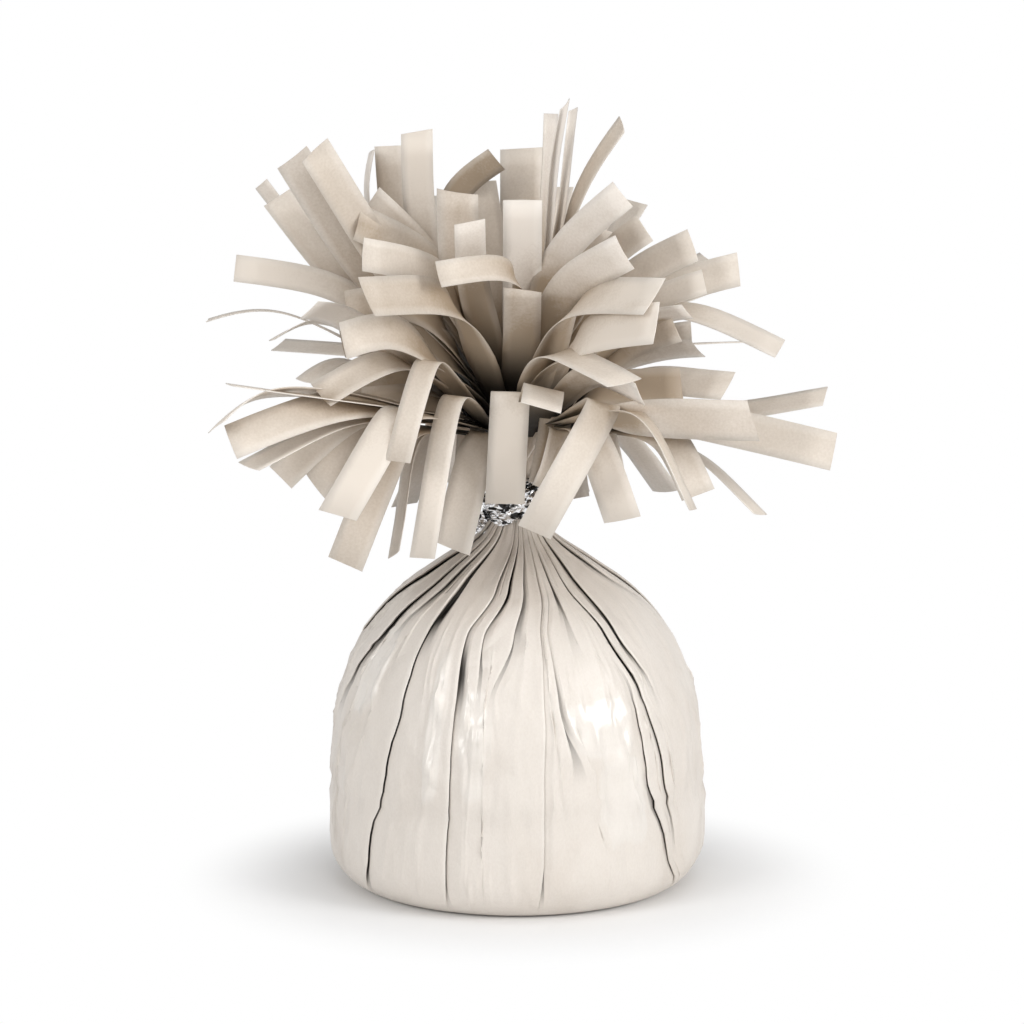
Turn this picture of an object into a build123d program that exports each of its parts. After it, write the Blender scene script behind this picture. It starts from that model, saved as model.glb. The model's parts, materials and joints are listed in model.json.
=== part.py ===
from build123d import *
from math import asin, cos, degrees, pi, radians, sin, sqrt
import os

os.makedirs("parts", exist_ok=True)

# Body of the weight, in millimetres, with the front of the object towards -Y
BODY_RADIUS = 32.3
FOOT_ROUND = 8.0
SIDE_TOP = 18.0
SIDE_ARC = 65.0
SIDE_TURN = 17
SHOULDER_ARC = 31.5
SHOULDER_TURN = 59

# Outer wrap: lapped pleats, placed in degrees round from the front towards +X
PLEAT_ANGLES = (-80, -46, -23, 7, 16, 46, 54, 78, 101, 124, 147, 170, 193, 216, 239, 260)
PLEAT_STEP = 0.9
WRAP_WALL = 0.5
MOUTH_WALL = 1.0
FOOT_SPANS = 3
SIDE_SPANS = 2
SHOULDER_SPANS = 4

# Ballast inside the wrap
TUB_CLEARANCE = 0.15
TUB_WALL = 1.2
TUB_RIM = 38.5
LID_THICKNESS = 1.2
LID_SKIRT = 3.5
LID_CLEARANCE = 0.1
SAND_CLEARANCE = 0.1
SAND_DROP = 0.5

# Neck: bunched film that passes through the tie, rounded off so that the plume can lean on it
NECK_RADIUS = 3.3
NECK_BALL = 3.9
NECK_CLEARANCE = 0.15
NECK_RISE = 5.5
SKIRT_RADIUS = 9.0
SKIRT_DROP = 2.2
SKIRT_EDGE = 1.0

# Tie: foil over a wire, wound twice round the neck, its ends twisted together on the left
TIE_DIAMETER = 1.5
TIE_CLEARANCE = 0.25
TIE_PITCH = 2.4
TIE_TURNS = 2
TIE_LEAD = 25
TIE_SELF_GAP = 0.4
WIRE_DIAMETER = 0.5
WIRE_CLEARANCE = 0.06
TAIL_START = 7.8
TAIL_STEP = 2.2
TAIL_STEPS = 2
TAIL_TURN = 80

# Plume: a flared gather of film above the tie, and the strips slit from its sheets
LEAN_CLEARANCE = 0.3
GATHER_RADIUS = 2.9
FLARE_RADIUS = 8.5
FLARE_RISE = 13.0
CROWN_RISE = 21.0
FILM = 0.3
STRIP_WIDTH = 6.4
STRIP_FILL = 0.78
STRIP_SPANS = 5
ROOT_EDGE = 0.6
ROOT_INNER = 1.2
ROOT_SINK = 0.8
LAUNCH_OUTER = 60
LAUNCH_INNER = 86
BEND_OUTER = 11.0
BEND_INNER = 26.0
LEAN_SCATTER = 4.5

# One row for each sheet, outermost first: its final direction above level, and the length of each of its
# strips by the strip's angle round from the front towards +X
SHEETS = (
    (-80, {-150: 27, -118: 27, -85: 29, -53: 28, -24: 28, 19: 21, 55: 26, 90: 26, 122: 27, 150: 27, 180: 27}),
    (
        -62,
        {-170: 34, -135: 34, -105: 36, -78: 38, -50: 37, -30: 40}
        | {-6: 31, 42: 29, 72: 32, 100: 34, 130: 34, 160: 34},
    ),
    (-42, {-160: 42, -128: 42, -95: 40, -64: 42, -38: 47, 10: 42, 45: 46, 72: 34, 104: 40, 136: 42, 168: 42}),
    (
        -22,
        {-165: 46, -135: 46, -105: 47, -78: 48, -55: 54, -25: 42}
        | {12: 38, 39: 36, 77: 51, 108: 46, 140: 46, 170: 46},
    ),
    (
        -5,
        {-150: 47, -122: 47, -94: 53, -58: 54, -30: 44, 0: 40}
        | {28: 43, 59: 46, 90: 50, 118: 46, 148: 47, 178: 47},
    ),
    (
        10,
        {-160: 47, -132: 47, -110: 47, -88: 53, -62: 43, -40: 42, -10: 42}
        | {33: 46, 60: 36, 82: 51, 108: 40, 136: 46, 165: 47},
    ),
    (
        24,
        {-155: 45, -128: 47, -100: 54, -70: 48, -38: 50, -8: 44}
        | {34: 50, 64: 40, 90: 43, 120: 42, 150: 45, 180: 45},
    ),
    (38, {-150: 43, -115: 46, -76: 56, -40: 44, 0: 42, 35: 44, 70: 40, 105: 40, 140: 42, 175: 43}),
    (50, {-165: 38, -113: 50, -70: 46, -28: 46, 6: 36, 42: 49, 80: 38, 120: 38, 160: 38}),
    (62, {-150: 36, -97: 50, -60: 44, -24: 38, 15: 38, 61: 52, 110: 38, 160: 36}),
    (73, {-140: 36, -90: 40, -40: 40, 4: 38, 75: 47, 143: 46}),
    (83, {-90: 40, 0: 42, 75: 50, 176: 42}),
)

SIDE_CENTRE = (BODY_RADIUS - SIDE_ARC, SIDE_TOP)
SHOULDER_CENTRE = (
    SIDE_CENTRE[0] + (SIDE_ARC - SHOULDER_ARC) * cos(radians(SIDE_TURN)),
    SIDE_CENTRE[1] + (SIDE_ARC - SHOULDER_ARC) * sin(radians(SIDE_TURN)),
)
MOUTH_BORE = NECK_RADIUS + NECK_CLEARANCE
MOUTH_RADIUS = MOUTH_BORE + MOUTH_WALL
WRAP_INSET = PLEAT_STEP + WRAP_WALL
TUB_INSET = WRAP_INSET + TUB_CLEARANCE
TUB_INNER_INSET = TUB_INSET + TUB_WALL
SAND_INSET = TUB_INNER_INSET + SAND_CLEARANCE
TIE_RADIUS = NECK_BALL + TIE_CLEARANCE + TIE_DIAMETER / 2
TWIST_RADIUS = (TIE_DIAMETER + TIE_SELF_GAP + 0.1) / 2
GATHER_HOLLOW = NECK_BALL + LEAN_CLEARANCE
ROOT_OUTER = FLARE_RADIUS - ROOT_EDGE
CROWN_SLOPE = (CROWN_RISE - FLARE_RISE) / FLARE_RADIUS


def around(radius, angle, height=0.0):
    """Point at an angle in degrees round from the front towards +X."""
    return (radius * sin(radians(angle)), -radius * cos(radians(angle)), height)


def shoulder_radius(height, inset):
    """Radius of the rounded shoulder at a height, with the outline moved in by inset."""
    return SHOULDER_CENTRE[0] + sqrt((SHOULDER_ARC - inset) ** 2 - (height - SHOULDER_CENTRE[1]) ** 2)


def cone_height(radius, inset):
    """Height of the cone above the shoulder at a radius, with the outline moved in by inset."""
    reach = SHOULDER_ARC - inset - (radius - SHOULDER_CENTRE[0]) * cos(radians(SHOULDER_TURN))
    return SHOULDER_CENTRE[1] + reach / sin(radians(SHOULDER_TURN))


def body_outline(inset):
    """Draw the half section of the body up to a point on its axis, moved in by inset."""
    radius = BODY_RADIUS - inset
    point = (0, cone_height(0, inset))
    Line((0, inset), (BODY_RADIUS - FOOT_ROUND, inset))
    CenterArc((BODY_RADIUS - FOOT_ROUND, FOOT_ROUND), FOOT_ROUND - inset, -90, 90)
    Line((radius, FOOT_ROUND), (radius, SIDE_TOP))
    CenterArc(SIDE_CENTRE, SIDE_ARC - inset, 0, SIDE_TURN)
    shoulder = CenterArc(SHOULDER_CENTRE, SHOULDER_ARC - inset, SIDE_TURN, SHOULDER_TURN - SIDE_TURN)
    Line(shoulder @ 1, point)
    Line(point, (0, inset))


def pleated_outline(radius):
    """Draw one closed level section of the wrap, a step down at each pleat."""
    step = PLEAT_STEP * min(1.0, radius / (BODY_RADIUS / 3))
    angles = PLEAT_ANGLES + (PLEAT_ANGLES[0] + 360,)
    for start, end in zip(angles[:-1], angles[1:]):
        middle = (start + end) / 2
        crest = around(radius, end)[:2]
        ThreePointArc(around(radius - step, start)[:2], around(radius - step / 2, middle)[:2], crest)
        Line(crest, around(radius - step, end)[:2])


TIE_Z = cone_height(MOUTH_RADIUS, 0) + NECK_RISE

with BuildPart() as ballast_tub:
    with BuildSketch(Plane.XZ):
        with BuildLine():
            body_outline(TUB_INSET)
        make_face()
    revolve(axis=Axis.Z)
    with BuildSketch(Plane.XZ):
        with BuildLine():
            body_outline(TUB_INNER_INSET)
        make_face()
    revolve(axis=Axis.Z, mode=Mode.SUBTRACT)
    split(bisect_by=Plane.XY.offset(TUB_RIM), keep=Keep.BOTTOM)
ballast_tub.part.label = "ballast_tub"
export_step(ballast_tub.part, "parts/ballast_tub.step")

with BuildPart() as sand_fill:
    with BuildSketch(Plane.XZ):
        with BuildLine():
            body_outline(SAND_INSET)
        make_face()
    revolve(axis=Axis.Z)
    split(bisect_by=Plane.XY.offset(TUB_RIM - LID_SKIRT - SAND_DROP), keep=Keep.BOTTOM)
sand_fill.part.label = "sand_fill"
export_step(sand_fill.part, "parts/sand_fill.step")

skirt_radius = shoulder_radius(TUB_RIM, TUB_INNER_INSET) - LID_CLEARANCE
with BuildPart() as tub_lid:
    with BuildSketch(Plane.XY.offset(TUB_RIM)):
        Circle(shoulder_radius(TUB_RIM + LID_THICKNESS, TUB_INSET))
    extrude(amount=LID_THICKNESS)
    with BuildSketch(Plane.XY.offset(TUB_RIM)):
        Circle(skirt_radius)
        Circle(skirt_radius - LID_THICKNESS, mode=Mode.SUBTRACT)
    extrude(amount=-LID_SKIRT)
tub_lid.part.label = "tub_lid"
export_step(tub_lid.part, "parts/tub_lid.step")

# Level sections of the wrap from the foot to its mouth at the neck, as radius and height
wrap_sections = []
for span in range(FOOT_SPANS + 1):
    turn = pi / 2 * span / FOOT_SPANS
    wrap_sections.append((BODY_RADIUS - FOOT_ROUND * (1 - sin(turn)), FOOT_ROUND * (1 - cos(turn))))
for span in range(SIDE_SPANS + 1):
    turn = radians(SIDE_TURN) * span / SIDE_SPANS
    wrap_sections.append((SIDE_CENTRE[0] + SIDE_ARC * cos(turn), SIDE_CENTRE[1] + SIDE_ARC * sin(turn)))
for span in range(1, SHOULDER_SPANS + 1):
    turn = radians(SIDE_TURN + (SHOULDER_TURN - SIDE_TURN) * span / SHOULDER_SPANS)
    radius = SHOULDER_CENTRE[0] + SHOULDER_ARC * cos(turn)
    wrap_sections.append((radius, SHOULDER_CENTRE[1] + SHOULDER_ARC * sin(turn)))
wrap_sections.append((MOUTH_RADIUS, cone_height(MOUTH_RADIUS, 0)))

with BuildPart() as outer_wrap:
    for radius, height in wrap_sections:
        with BuildSketch(Plane.XY.offset(height)):
            with BuildLine():
                pleated_outline(radius)
            make_face()
    loft(ruled=True)
    with BuildSketch(Plane.XZ):
        with BuildLine():
            body_outline(WRAP_INSET)
        make_face()
    revolve(axis=Axis.Z, mode=Mode.SUBTRACT)
    with BuildSketch(Plane.XY.offset(TUB_RIM)):
        Circle(MOUTH_BORE)
    extrude(amount=TIE_Z - TUB_RIM, mode=Mode.SUBTRACT)
outer_wrap.part.label = "outer_wrap"
export_step(outer_wrap.part, "parts/outer_wrap.step")

skirt_z = cone_height(SKIRT_RADIUS, WRAP_INSET) - SKIRT_DROP
neck_z = cone_height(NECK_RADIUS, WRAP_INSET) - SKIRT_DROP
ball_drop = sqrt(NECK_BALL**2 - NECK_RADIUS**2)
with BuildPart() as neck_gather:
    with BuildSketch(Plane.XZ):
        with BuildLine():
            Polyline(
                (0, TIE_Z + NECK_BALL),
                (0, skirt_z - SKIRT_EDGE),
                (SKIRT_RADIUS, skirt_z - SKIRT_EDGE),
                (SKIRT_RADIUS, skirt_z),
                (NECK_RADIUS, neck_z),
                (NECK_RADIUS, TIE_Z - ball_drop),
            )
            ThreePointArc((NECK_RADIUS, TIE_Z - ball_drop), (NECK_BALL, TIE_Z), (0, TIE_Z + NECK_BALL))
        make_face()
    revolve(axis=Axis.Z)
neck_gather.part.label = "neck_gather"
export_step(neck_gather.part, "parts/neck_gather.step")


def turn_node(angle):
    """Place and direction of the tie at an angle in degrees, counted from its first turn on the left."""
    turn = radians(angle + 180)
    rise = TIE_PITCH * (angle / 360 - TIE_TURNS / 2)
    place = Vector(TIE_RADIUS * cos(turn), TIE_RADIUS * sin(turn), TIE_Z + rise)
    return place, Vector(-TIE_RADIUS * sin(turn), TIE_RADIUS * cos(turn), TIE_PITCH / (2 * pi)).normalized()


def tail_node(step, side):
    """Place and outward direction of one end of the tie along the twisted tail."""
    turn = radians(TAIL_TURN * step)
    rate = TWIST_RADIUS * radians(TAIL_TURN) / TAIL_STEP
    across = -side * TWIST_RADIUS * sin(turn)
    up = side * TWIST_RADIUS * cos(turn)
    place = Vector(-TAIL_START - TAIL_STEP * step, across, TIE_Z + up)
    return place, Vector(-1, -side * rate * cos(turn), -side * rate * sin(turn)).normalized()


def tie_nodes():
    """Places and directions along the tie, from one tail round the neck to the other tail."""
    nodes = []
    for step in range(TAIL_STEPS, -1, -1):
        place, outward = tail_node(step, -1)
        nodes.append((place, outward * -1))
    nodes.append(turn_node(TIE_LEAD))
    for quarter in range(1, 4 * TIE_TURNS):
        nodes.append(turn_node(90 * quarter))
    nodes.append(turn_node(360 * TIE_TURNS - TIE_LEAD))
    for step in range(TAIL_STEPS + 1):
        nodes.append(tail_node(step, 1))
    return nodes


def tie_route():
    """Draw the tie's centre line as pairs of arcs with straight ends."""
    nodes = tie_nodes()
    first, first_way = nodes[0]
    last, last_way = nodes[-1]
    Line(first - first_way * TIE_DIAMETER, first)
    for (start, start_way), (end, end_way) in zip(nodes[:-1], nodes[1:]):
        chord = end - start
        ways = start_way + end_way
        bend = 2 * (1 - start_way.dot(end_way))
        pull = chord.dot(ways)
        reach = (sqrt(pull**2 + bend * chord.dot(chord)) - pull) / bend
        near = start + start_way * reach
        far = end - end_way * reach
        joint = (near + far) * 0.5
        TangentArc(start, joint, tangent=start_way)
        TangentArc(joint, end, tangent=(far - near).normalized())
    Line(last, last + last_way * TIE_DIAMETER)


with BuildPart() as tie_foil:
    with BuildLine() as foil_route:
        tie_route()
    with BuildSketch(Plane(origin=foil_route.line @ 0, z_dir=foil_route.line % 0)):
        Circle(TIE_DIAMETER / 2)
        Circle(WIRE_DIAMETER / 2 + WIRE_CLEARANCE, mode=Mode.SUBTRACT)
    sweep(path=foil_route.line)
tie_foil.part.label = "tie_foil"
export_step(tie_foil.part, "parts/tie_foil.step")

with BuildPart() as tie_wire:
    with BuildLine() as wire_route:
        tie_route()
    with BuildSketch(Plane(origin=wire_route.line @ 0, z_dir=wire_route.line % 0)):
        Circle(WIRE_DIAMETER / 2)
    sweep(path=wire_route.line)
tie_wire.part.label = "tie_wire"
export_step(tie_wire.part, "parts/tie_wire.step")

# Least gap between stretches of the tie that lie further apart along it than three diameters
route_points = []
travelled = 0.0
for edge in foil_route.line.edges():
    for share in range(8):
        route_points.append((travelled + edge.length * share / 8, edge @ (share / 8)))
    travelled += edge.length
self_gap = min(
    (there - here).length - TIE_DIAMETER
    for place, here in route_points
    for later, there in route_points
    if later - place > 3 * TIE_DIAMETER
)
print(f"tie length {travelled:.1f} mm, least gap to itself {self_gap:.2f} mm")

gather_drop = sqrt(GATHER_HOLLOW**2 - GATHER_RADIUS**2)
hollow_turn = asin(GATHER_RADIUS / GATHER_HOLLOW) / 2
with BuildPart() as fringe_gather:
    with BuildSketch(Plane.XZ):
        with BuildLine():
            ThreePointArc(
                (0, TIE_Z + GATHER_HOLLOW),
                (GATHER_HOLLOW * sin(hollow_turn), TIE_Z + GATHER_HOLLOW * cos(hollow_turn)),
                (GATHER_RADIUS, TIE_Z + gather_drop),
            )
            Polyline(
                (GATHER_RADIUS, TIE_Z + gather_drop),
                (FLARE_RADIUS, TIE_Z + FLARE_RISE),
                (0, TIE_Z + CROWN_RISE),
                (0, TIE_Z + GATHER_HOLLOW),
            )
        make_face()
    revolve(axis=Axis.Z)
fringe_gather.part.label = "fringe_gather"
export_step(fringe_gather.part, "parts/fringe_gather.step")


def scatter(count):
    """Even spread of values from -1 to 1, one for each whole number."""
    return 2 * ((count * 0.618034) % 1.0) - 1


def strip_room(angles, angle):
    """Angle in radians that a strip has to itself among the strips of its sheet."""
    gaps = [abs((other - angle + 180) % 360 - 180) for other in angles if other != angle]
    return radians(min(*gaps, 360 / len(angles)))


def strip_stations(sheet, angle):
    """Radius, height and direction at each section of one strip, from its root to its tip."""
    lean, lengths = SHEETS[sheet]
    share = sheet / (len(SHEETS) - 1)
    launch = LAUNCH_OUTER + (LAUNCH_INNER - LAUNCH_OUTER) * share
    final = lean + LEAN_SCATTER * scatter(angle)
    bend = BEND_OUTER + (BEND_INNER - BEND_OUTER) * share
    straight = lengths[angle] - bend
    radius = ROOT_OUTER + (ROOT_INNER - ROOT_OUTER) * share
    height = TIE_Z + CROWN_RISE - CROWN_SLOPE * radius
    sink_radius = radius - ROOT_SINK * cos(radians(launch))
    stations = [(sink_radius, height - ROOT_SINK * sin(radians(launch)), launch), (radius, height, launch)]
    turn = radians(final - launch) / STRIP_SPANS
    chord = bend / STRIP_SPANS * sin(turn / 2) / (turn / 2)
    for span in range(STRIP_SPANS):
        middle = radians(launch) + turn * (span + 0.5)
        radius += chord * cos(middle)
        height += chord * sin(middle)
        stations.append((radius, height, launch + degrees(turn) * (span + 1)))
    radius += straight * cos(radians(final))
    height += straight * sin(radians(final))
    stations.append((radius, height, final))
    return stations


for sheet, (lean, lengths) in enumerate(SHEETS):
    with BuildPart() as fringe_sheet:
        blades = []
        for angle in lengths:
            room = strip_room(lengths, angle)
            side = Vector(cos(radians(angle)), sin(radians(angle)), 0)
            sections = []
            for radius, height, slope in strip_stations(sheet, angle):
                place = around(radius, angle, height)
                way = around(cos(radians(slope)), angle, sin(radians(slope)))
                with BuildSketch(Plane(origin=place, x_dir=side, z_dir=way), mode=Mode.PRIVATE) as section:
                    Rectangle(min(STRIP_WIDTH, STRIP_FILL * radius * room), FILM)
                sections.append(section.sketch)
            blades.append(loft(sections, ruled=True, mode=Mode.PRIVATE))
        add(blades)
        add(fringe_gather.part, mode=Mode.SUBTRACT)
    fringe_sheet.part.label = f"fringe_sheet_{sheet + 1:02d}"
    export_step(fringe_sheet.part, f"parts/{fringe_sheet.part.label}.step")
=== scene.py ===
import json
import math
import random

import bmesh
import bpy
from bpy.props import FloatProperty, FloatVectorProperty, IntProperty, PointerProperty
from mathutils import Matrix, Vector, noise
from mathutils.bvhtree import BVHTree


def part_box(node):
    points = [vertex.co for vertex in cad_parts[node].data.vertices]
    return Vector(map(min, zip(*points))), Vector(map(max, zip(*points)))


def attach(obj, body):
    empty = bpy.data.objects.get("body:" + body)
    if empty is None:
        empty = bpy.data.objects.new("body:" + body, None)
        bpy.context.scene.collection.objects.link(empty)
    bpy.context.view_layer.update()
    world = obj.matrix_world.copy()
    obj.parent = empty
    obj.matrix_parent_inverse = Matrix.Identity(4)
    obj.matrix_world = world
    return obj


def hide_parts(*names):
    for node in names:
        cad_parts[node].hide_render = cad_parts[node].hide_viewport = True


bl_info = {
    "name": "Balloon Weight",
    "version": (1, 0, 0),
    "blender": (4, 5, 0),
    "location": "3D View > Sidebar > Balloon Weight",
    "description": "Pleated film wrap, foil tie and film fringe of a balloon weight",
    "category": "Object",
}

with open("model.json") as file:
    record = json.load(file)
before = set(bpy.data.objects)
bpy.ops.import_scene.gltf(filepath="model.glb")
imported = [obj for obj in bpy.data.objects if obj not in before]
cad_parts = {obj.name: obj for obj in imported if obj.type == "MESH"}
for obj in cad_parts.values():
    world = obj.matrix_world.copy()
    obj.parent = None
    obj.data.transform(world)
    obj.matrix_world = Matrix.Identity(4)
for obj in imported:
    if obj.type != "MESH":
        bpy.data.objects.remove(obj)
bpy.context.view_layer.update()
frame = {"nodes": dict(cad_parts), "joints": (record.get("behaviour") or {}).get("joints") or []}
MM = 0.001
UP = Vector((0, 0, 1))
GOLDEN_TURN = math.pi * (3 - math.sqrt(5))
GOLDEN_SHARE = 0.618034
PIVOT = Vector(frame["joints"][0]["pos_m"])
BODY_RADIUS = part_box("outer_wrap")[1].x
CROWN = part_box("fringe_gather")[1].z - PIVOT.z

# Painted colours: shade painted deep in a fold or at a strip's root, and a highlight painted on a bright
# edge or as sheen on a glossy patch
PAINTED_SHADE_COLOUR = (0.012, 0.01, 0.008)
PAINTED_HIGHLIGHT_COLOUR = (0.9, 0.87, 0.82)
# Tone of the film: scales of its mottling and its grain, and how far the mottling lifts the surface
MOTTLE_SCALE = 130.0
GRAIN_SCALE = 2400.0
MOTTLE_RELIEF = 0.6
# Creases of the film: scale of the noise that bends them and how far in metres, and how wide and how high
# a ridge is
BEND_SCALE = 60.0
BEND_REACH = (0.012, 0.012, 0.012)
RIDGE_WIDTH = 0.22
RIDGE_HEIGHT = 0.5
# Film finish: how far its tone changes its roughness, how much that adds on average, how far the tone
# lifts the surface, scale and strength of the noise that breaks up the gloss, which values of the gloss
# make it glossy, and how far a painted sheen pales the glossy film
ROUGH_SPREAD = 0.12
ROUGH_MEAN = 0.1
TONE_RELIEF = 0.12
GLOSS_SCALE = 150.0
GLOSS_BREAK = 2.0
GLOSS_RANGE = (0.35, 0.6)
PAINTED_SHEEN_SHARE = 0.22

# Foil finish: its stretch along the axes, scale of the noise with its streaks of painted dark reflection,
# which values of it are painted dark and how dark, scale and depth in metres of the creases, and the
# roughness and what a ridge adds to it
FOIL_STRETCH = (1.0, 1.0, 2.2)
STREAK_SCALE = 620.0
FOIL_STREAKS = (0.5, 0.57)
FOIL_PAINTED_REFLECTION = 0.04
FOIL_CREASES = 420.0
FOIL_BUMP = 0.00012
FOIL_ROUGHNESS = 0.08
FOIL_RIDGE = 0.18
# Finish of what lies inside: how far its grain changes its roughness, and how much that adds on average
GRAIN_SPREAD = 0.1
GRAIN_MEAN = 0.08

# Half outline of the wrapped body in millimetres: arcs, with their centre, radius, first and last angle in
# degrees and steps, and points, with their radius and height
FOOT_ARC = ((24.3, 8.0), 8.0, -90, 0, 7)
SIDE_ARC = ((-32.7, 18.0), 65.0, 0, 17, 13)
SHOULDER_ARC = ((-0.66, 27.8), 31.5, 17, 57, 20)
UNDERSIDE = ((1.0, 1.1), (5.0, 0.8), (11.0, 0.5), (18.0, 0.25))
SIDE = ((32.3, 10.5), (32.3, 13.0), (32.3, 15.5))
THROAT = (
    (14.4, 55.7),
    (12.4, 57.1),
    (10.4, 58.4),
    (8.6, 59.6),
    (7.0, 60.8),
    (5.8, 62.0),
    (4.9, 63.2),
    (4.3, 64.4),
    (4.0, 65.6),
    (3.9, 66.8),
)

# Pleats of the wrap. The heights are in millimetres, and each row has the pleat's angle at those heights
# in degrees round from the front, which panel laps the other, its lap as a share of the full one, the
# heights where it opens and closes, and the height and strength of the wedge where it gapes, sunk deeper
# and painted dark with shade
PLEAT_HEIGHTS = (0, 10, 24, 38, 48, 55, 63)
PLEATS = (
    ((-113, -112, -108, -104, -98, -92, -84), 1, 1.0, -9, 90, 50, 0.3),
    ((-92, -90, -85, -77, -67, -62, -60), 1, 1.0, 36, 90, 47, 0.9),
    ((-76, -74, -70, -62, -57, -51, -47), 1, 0.5, 50, 90, 53, 0.5),
    ((-60, -55, -48, -44, -43, -40, -34), 1, 1.1, 1, 90, 53, 1.5),
    ((-24.3, -24.3, -23, -22.5, -23, -14.5, -6), 1, 1.1, 1, 90, 42, 0.9),
    ((-13, -13, -13, -13.5, -15.5, -7, 1), 1, 0.9, 42, 90, 56, 1.4),
    ((-9, -9, -9, -9, -3.6, 2, 8), 1, 0.6, 43, 90, 52, 0.6),
    ((7, 7, 7, 8, 9, 13, 17), 1, 0.4, 5, 90, 52, 0.3),
    ((26, 24, 18.5, 12.8, 12.3, 18, 23), 1, 0.9, 30, 51, 37, 0.5),
    ((40, 36, 32, 28, 25, 25, 29), -1, 0.9, 50, 90, 57, 1.5),
    ((66, 54, 45.7, 43, 36, 30, 35), -1, 0.8, 1, 38, 18, 0.5),
    ((72, 58, 53.5, 47.5, 41, 34.5, 42), -1, 1.3, 15, 90, 44, 1.3),
    ((80, 70, 61, 53, 47, 46, 55), -1, 0.9, 41, 90, 47, 1.0),
    ((100, 98, 96, 94, 86, 78, 80), -1, 0.6, 54, 90, 57, 0.2),
    ((112, 110, 108, 106, 102, 98, 97), -1, 0.9, 30, 90, 50, 0.6),
    ((128, 126, 124, 123, 120, 117, 115), 1, 1.1, -9, 90, 48, 0.6),
    ((147, 146, 145, 146, 143, 140, 137), 1, 1.0, 12, 90, 45, 0.8),
    ((169, 170, 171, 170, 168, 165, 160), -1, 1.1, -9, 90, 51, 0.5),
    ((193, 193, 195, 193, 190, 187, 183), 1, 1.0, -9, 90, 46, 0.8),
    ((214, 216, 217, 217, 215, 211, 206), -1, 1.0, 24, 90, 50, 0.4),
    ((236, 236, 234, 235, 236, 234, 228), 1, 1.1, -9, 90, 47, 0.7),
)
# How a pleat lies: the height of its wedge and the height over which it opens or closes in millimetres,
# the share of the way to the next pleat that it may take, the depth of the narrowest, how much deeper it
# is where it gapes, and between which offsets in laps its layers lie on each other
WEDGE_HEIGHT = 5.0
PLEAT_EASE = 7
PLEAT_ROOM = 0.38
PLEAT_DEPTH = 0.6
GAPE_DEPTH = 0.8
FOLD_LAYERS = (-0.3, 0.6)
# Across one pleat: offset in laps, depth in pleat steps, offset where the pleat has closed, the shade
# painted there (below zero, a highlight painted on the lip), and how much more shade is painted where
# the pleat gapes
FOLD = (
    (-0.85, 0.0, -0.95, 0.0, 0.0),
    (-0.3, 0.06, -0.8, 0.0, 0.0),
    (-0.05, 0.09, -0.7, 0.0, 0.0),
    (0.2, 0.12, -0.6, 0.0, 0.0),
    (0.42, 0.14, -0.5, -0.1, 0.0),
    (0.5, 0.08, -0.3, -0.25, 0.0),
    (0.45, -0.1, -0.1, 1.0, 0.0),
    (-0.3, -0.3, 0.1, 1.0, 0.0),
    (-0.38, -0.42, 0.3, 1.0, 0.0),
    (-0.3, -0.55, 0.5, 1.0, 0.0),
    (0.46, -0.62, 0.7, 1.0, 0.0),
    (0.52, -0.61, 0.8, 0.95, 0.0),
    (0.6, -0.55, 0.95, 0.0, 1.0),
    (1.1, -0.38, 1.15, 0.0, 1.0),
    (1.4, -0.22, 1.45, 0.0, 0.12),
    (1.65, 0.0, 1.65, 0.0, 0.0),
)
# Glossy, crumpled patches where the wrap is drawn flat, also given a painted sheen: angle round from the
# front in degrees, height in millimetres, half width in degrees and half height in millimetres
GLOSS_PATCHES = (
    (-27, 33, 4, 13),
    (-15, 31, 6, 10),
    (27, 33, 12, 5),
    (35, 20, 8, 8),
    (-60, 40, 7, 8),
    (-130, 30, 10, 12),
    (-160, 24, 9, 9),
    (125, 33, 12, 5),
    (155, 36, 9, 12),
    (195, 20, 10, 8),
)
# Columns of a panel between two pleats: degrees from one to the next, the fewest, and how many of them
# ease off the depth of a fold
PANEL_STEP = 1.6
PANEL_COLUMNS = 3
PANEL_EASE = 3
# Heights in millimetres over which the wrap leaves the floor, its wrinkles set in, and it is drawn
# together
FOOT_RISE = (0.0, 6.0)
UNDERSIDE_END = (0.5, 3.0)
DRAWN_TOGETHER = (46, 58)
# Height of a pleat's edge: its share at the foot, what is added where the wrap is drawn together, over
# which radii in millimetres, the most that a fold may take of the radius, and how far an edge slides down
# there
STEP_AT_FOOT = 0.2
STEP_ADDED = 0.9
STEP_RADII = (3.6, 12)
FOLD_LIMIT = 0.16
STEP_SLIDE = 0.3
# Shade painted in the slits of the pleats: how broken and how dark at least, over which heights in
# millimetres the slits set in and close again and by how much, and over which a gaping pleat closes
SLIT_BREAK = 0.9
SLIT_LEAST = 0.45
SLIT_START = (1, 7)
SLIT_END = (56, 62)
SLIT_CLOSING = 0.35
GAPE_END = (61, 65)
# Noises that follow the wrap round and up: their scales, their layer, and how far they lean
SLIT_NOISE = ((3, 0.07), 5.0)
PULL_NOISE = ((5, 0.03), 2.0)
LONG_CREASES = ((4, 0.035), 8.0)
SLANT_CREASES = ((9, 0.05), 14.0, 0.02)
# Noises over the surface: their scale and their shift
BROAD_SWAY = (62, (0, 0, 0))
FINE_SWAY = (170, (3, 1, 7))
RIM_SWAY = (45, (0, 0, 0))
CRUMPLE = (210, (9, 4, 2))
CRUMPLE_CREASES = (150, (1, 6, 3))
# What each adds to the wrinkles, how wide the creases are, and how much the drawn-in film keeps from
# swaying
BROAD_SHARE = 0.7
FINE_SHARE = 0.35
CRUMPLE_SHARE = 2.4
LINE_SHARE = 0.7
SLANT_SHARE = 0.7
LONG_WIDTH = 0.07
SLANT_WIDTH = 0.1
CRUMPLE_WIDTH = 0.12
SWAY_HELD = 0.7
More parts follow.
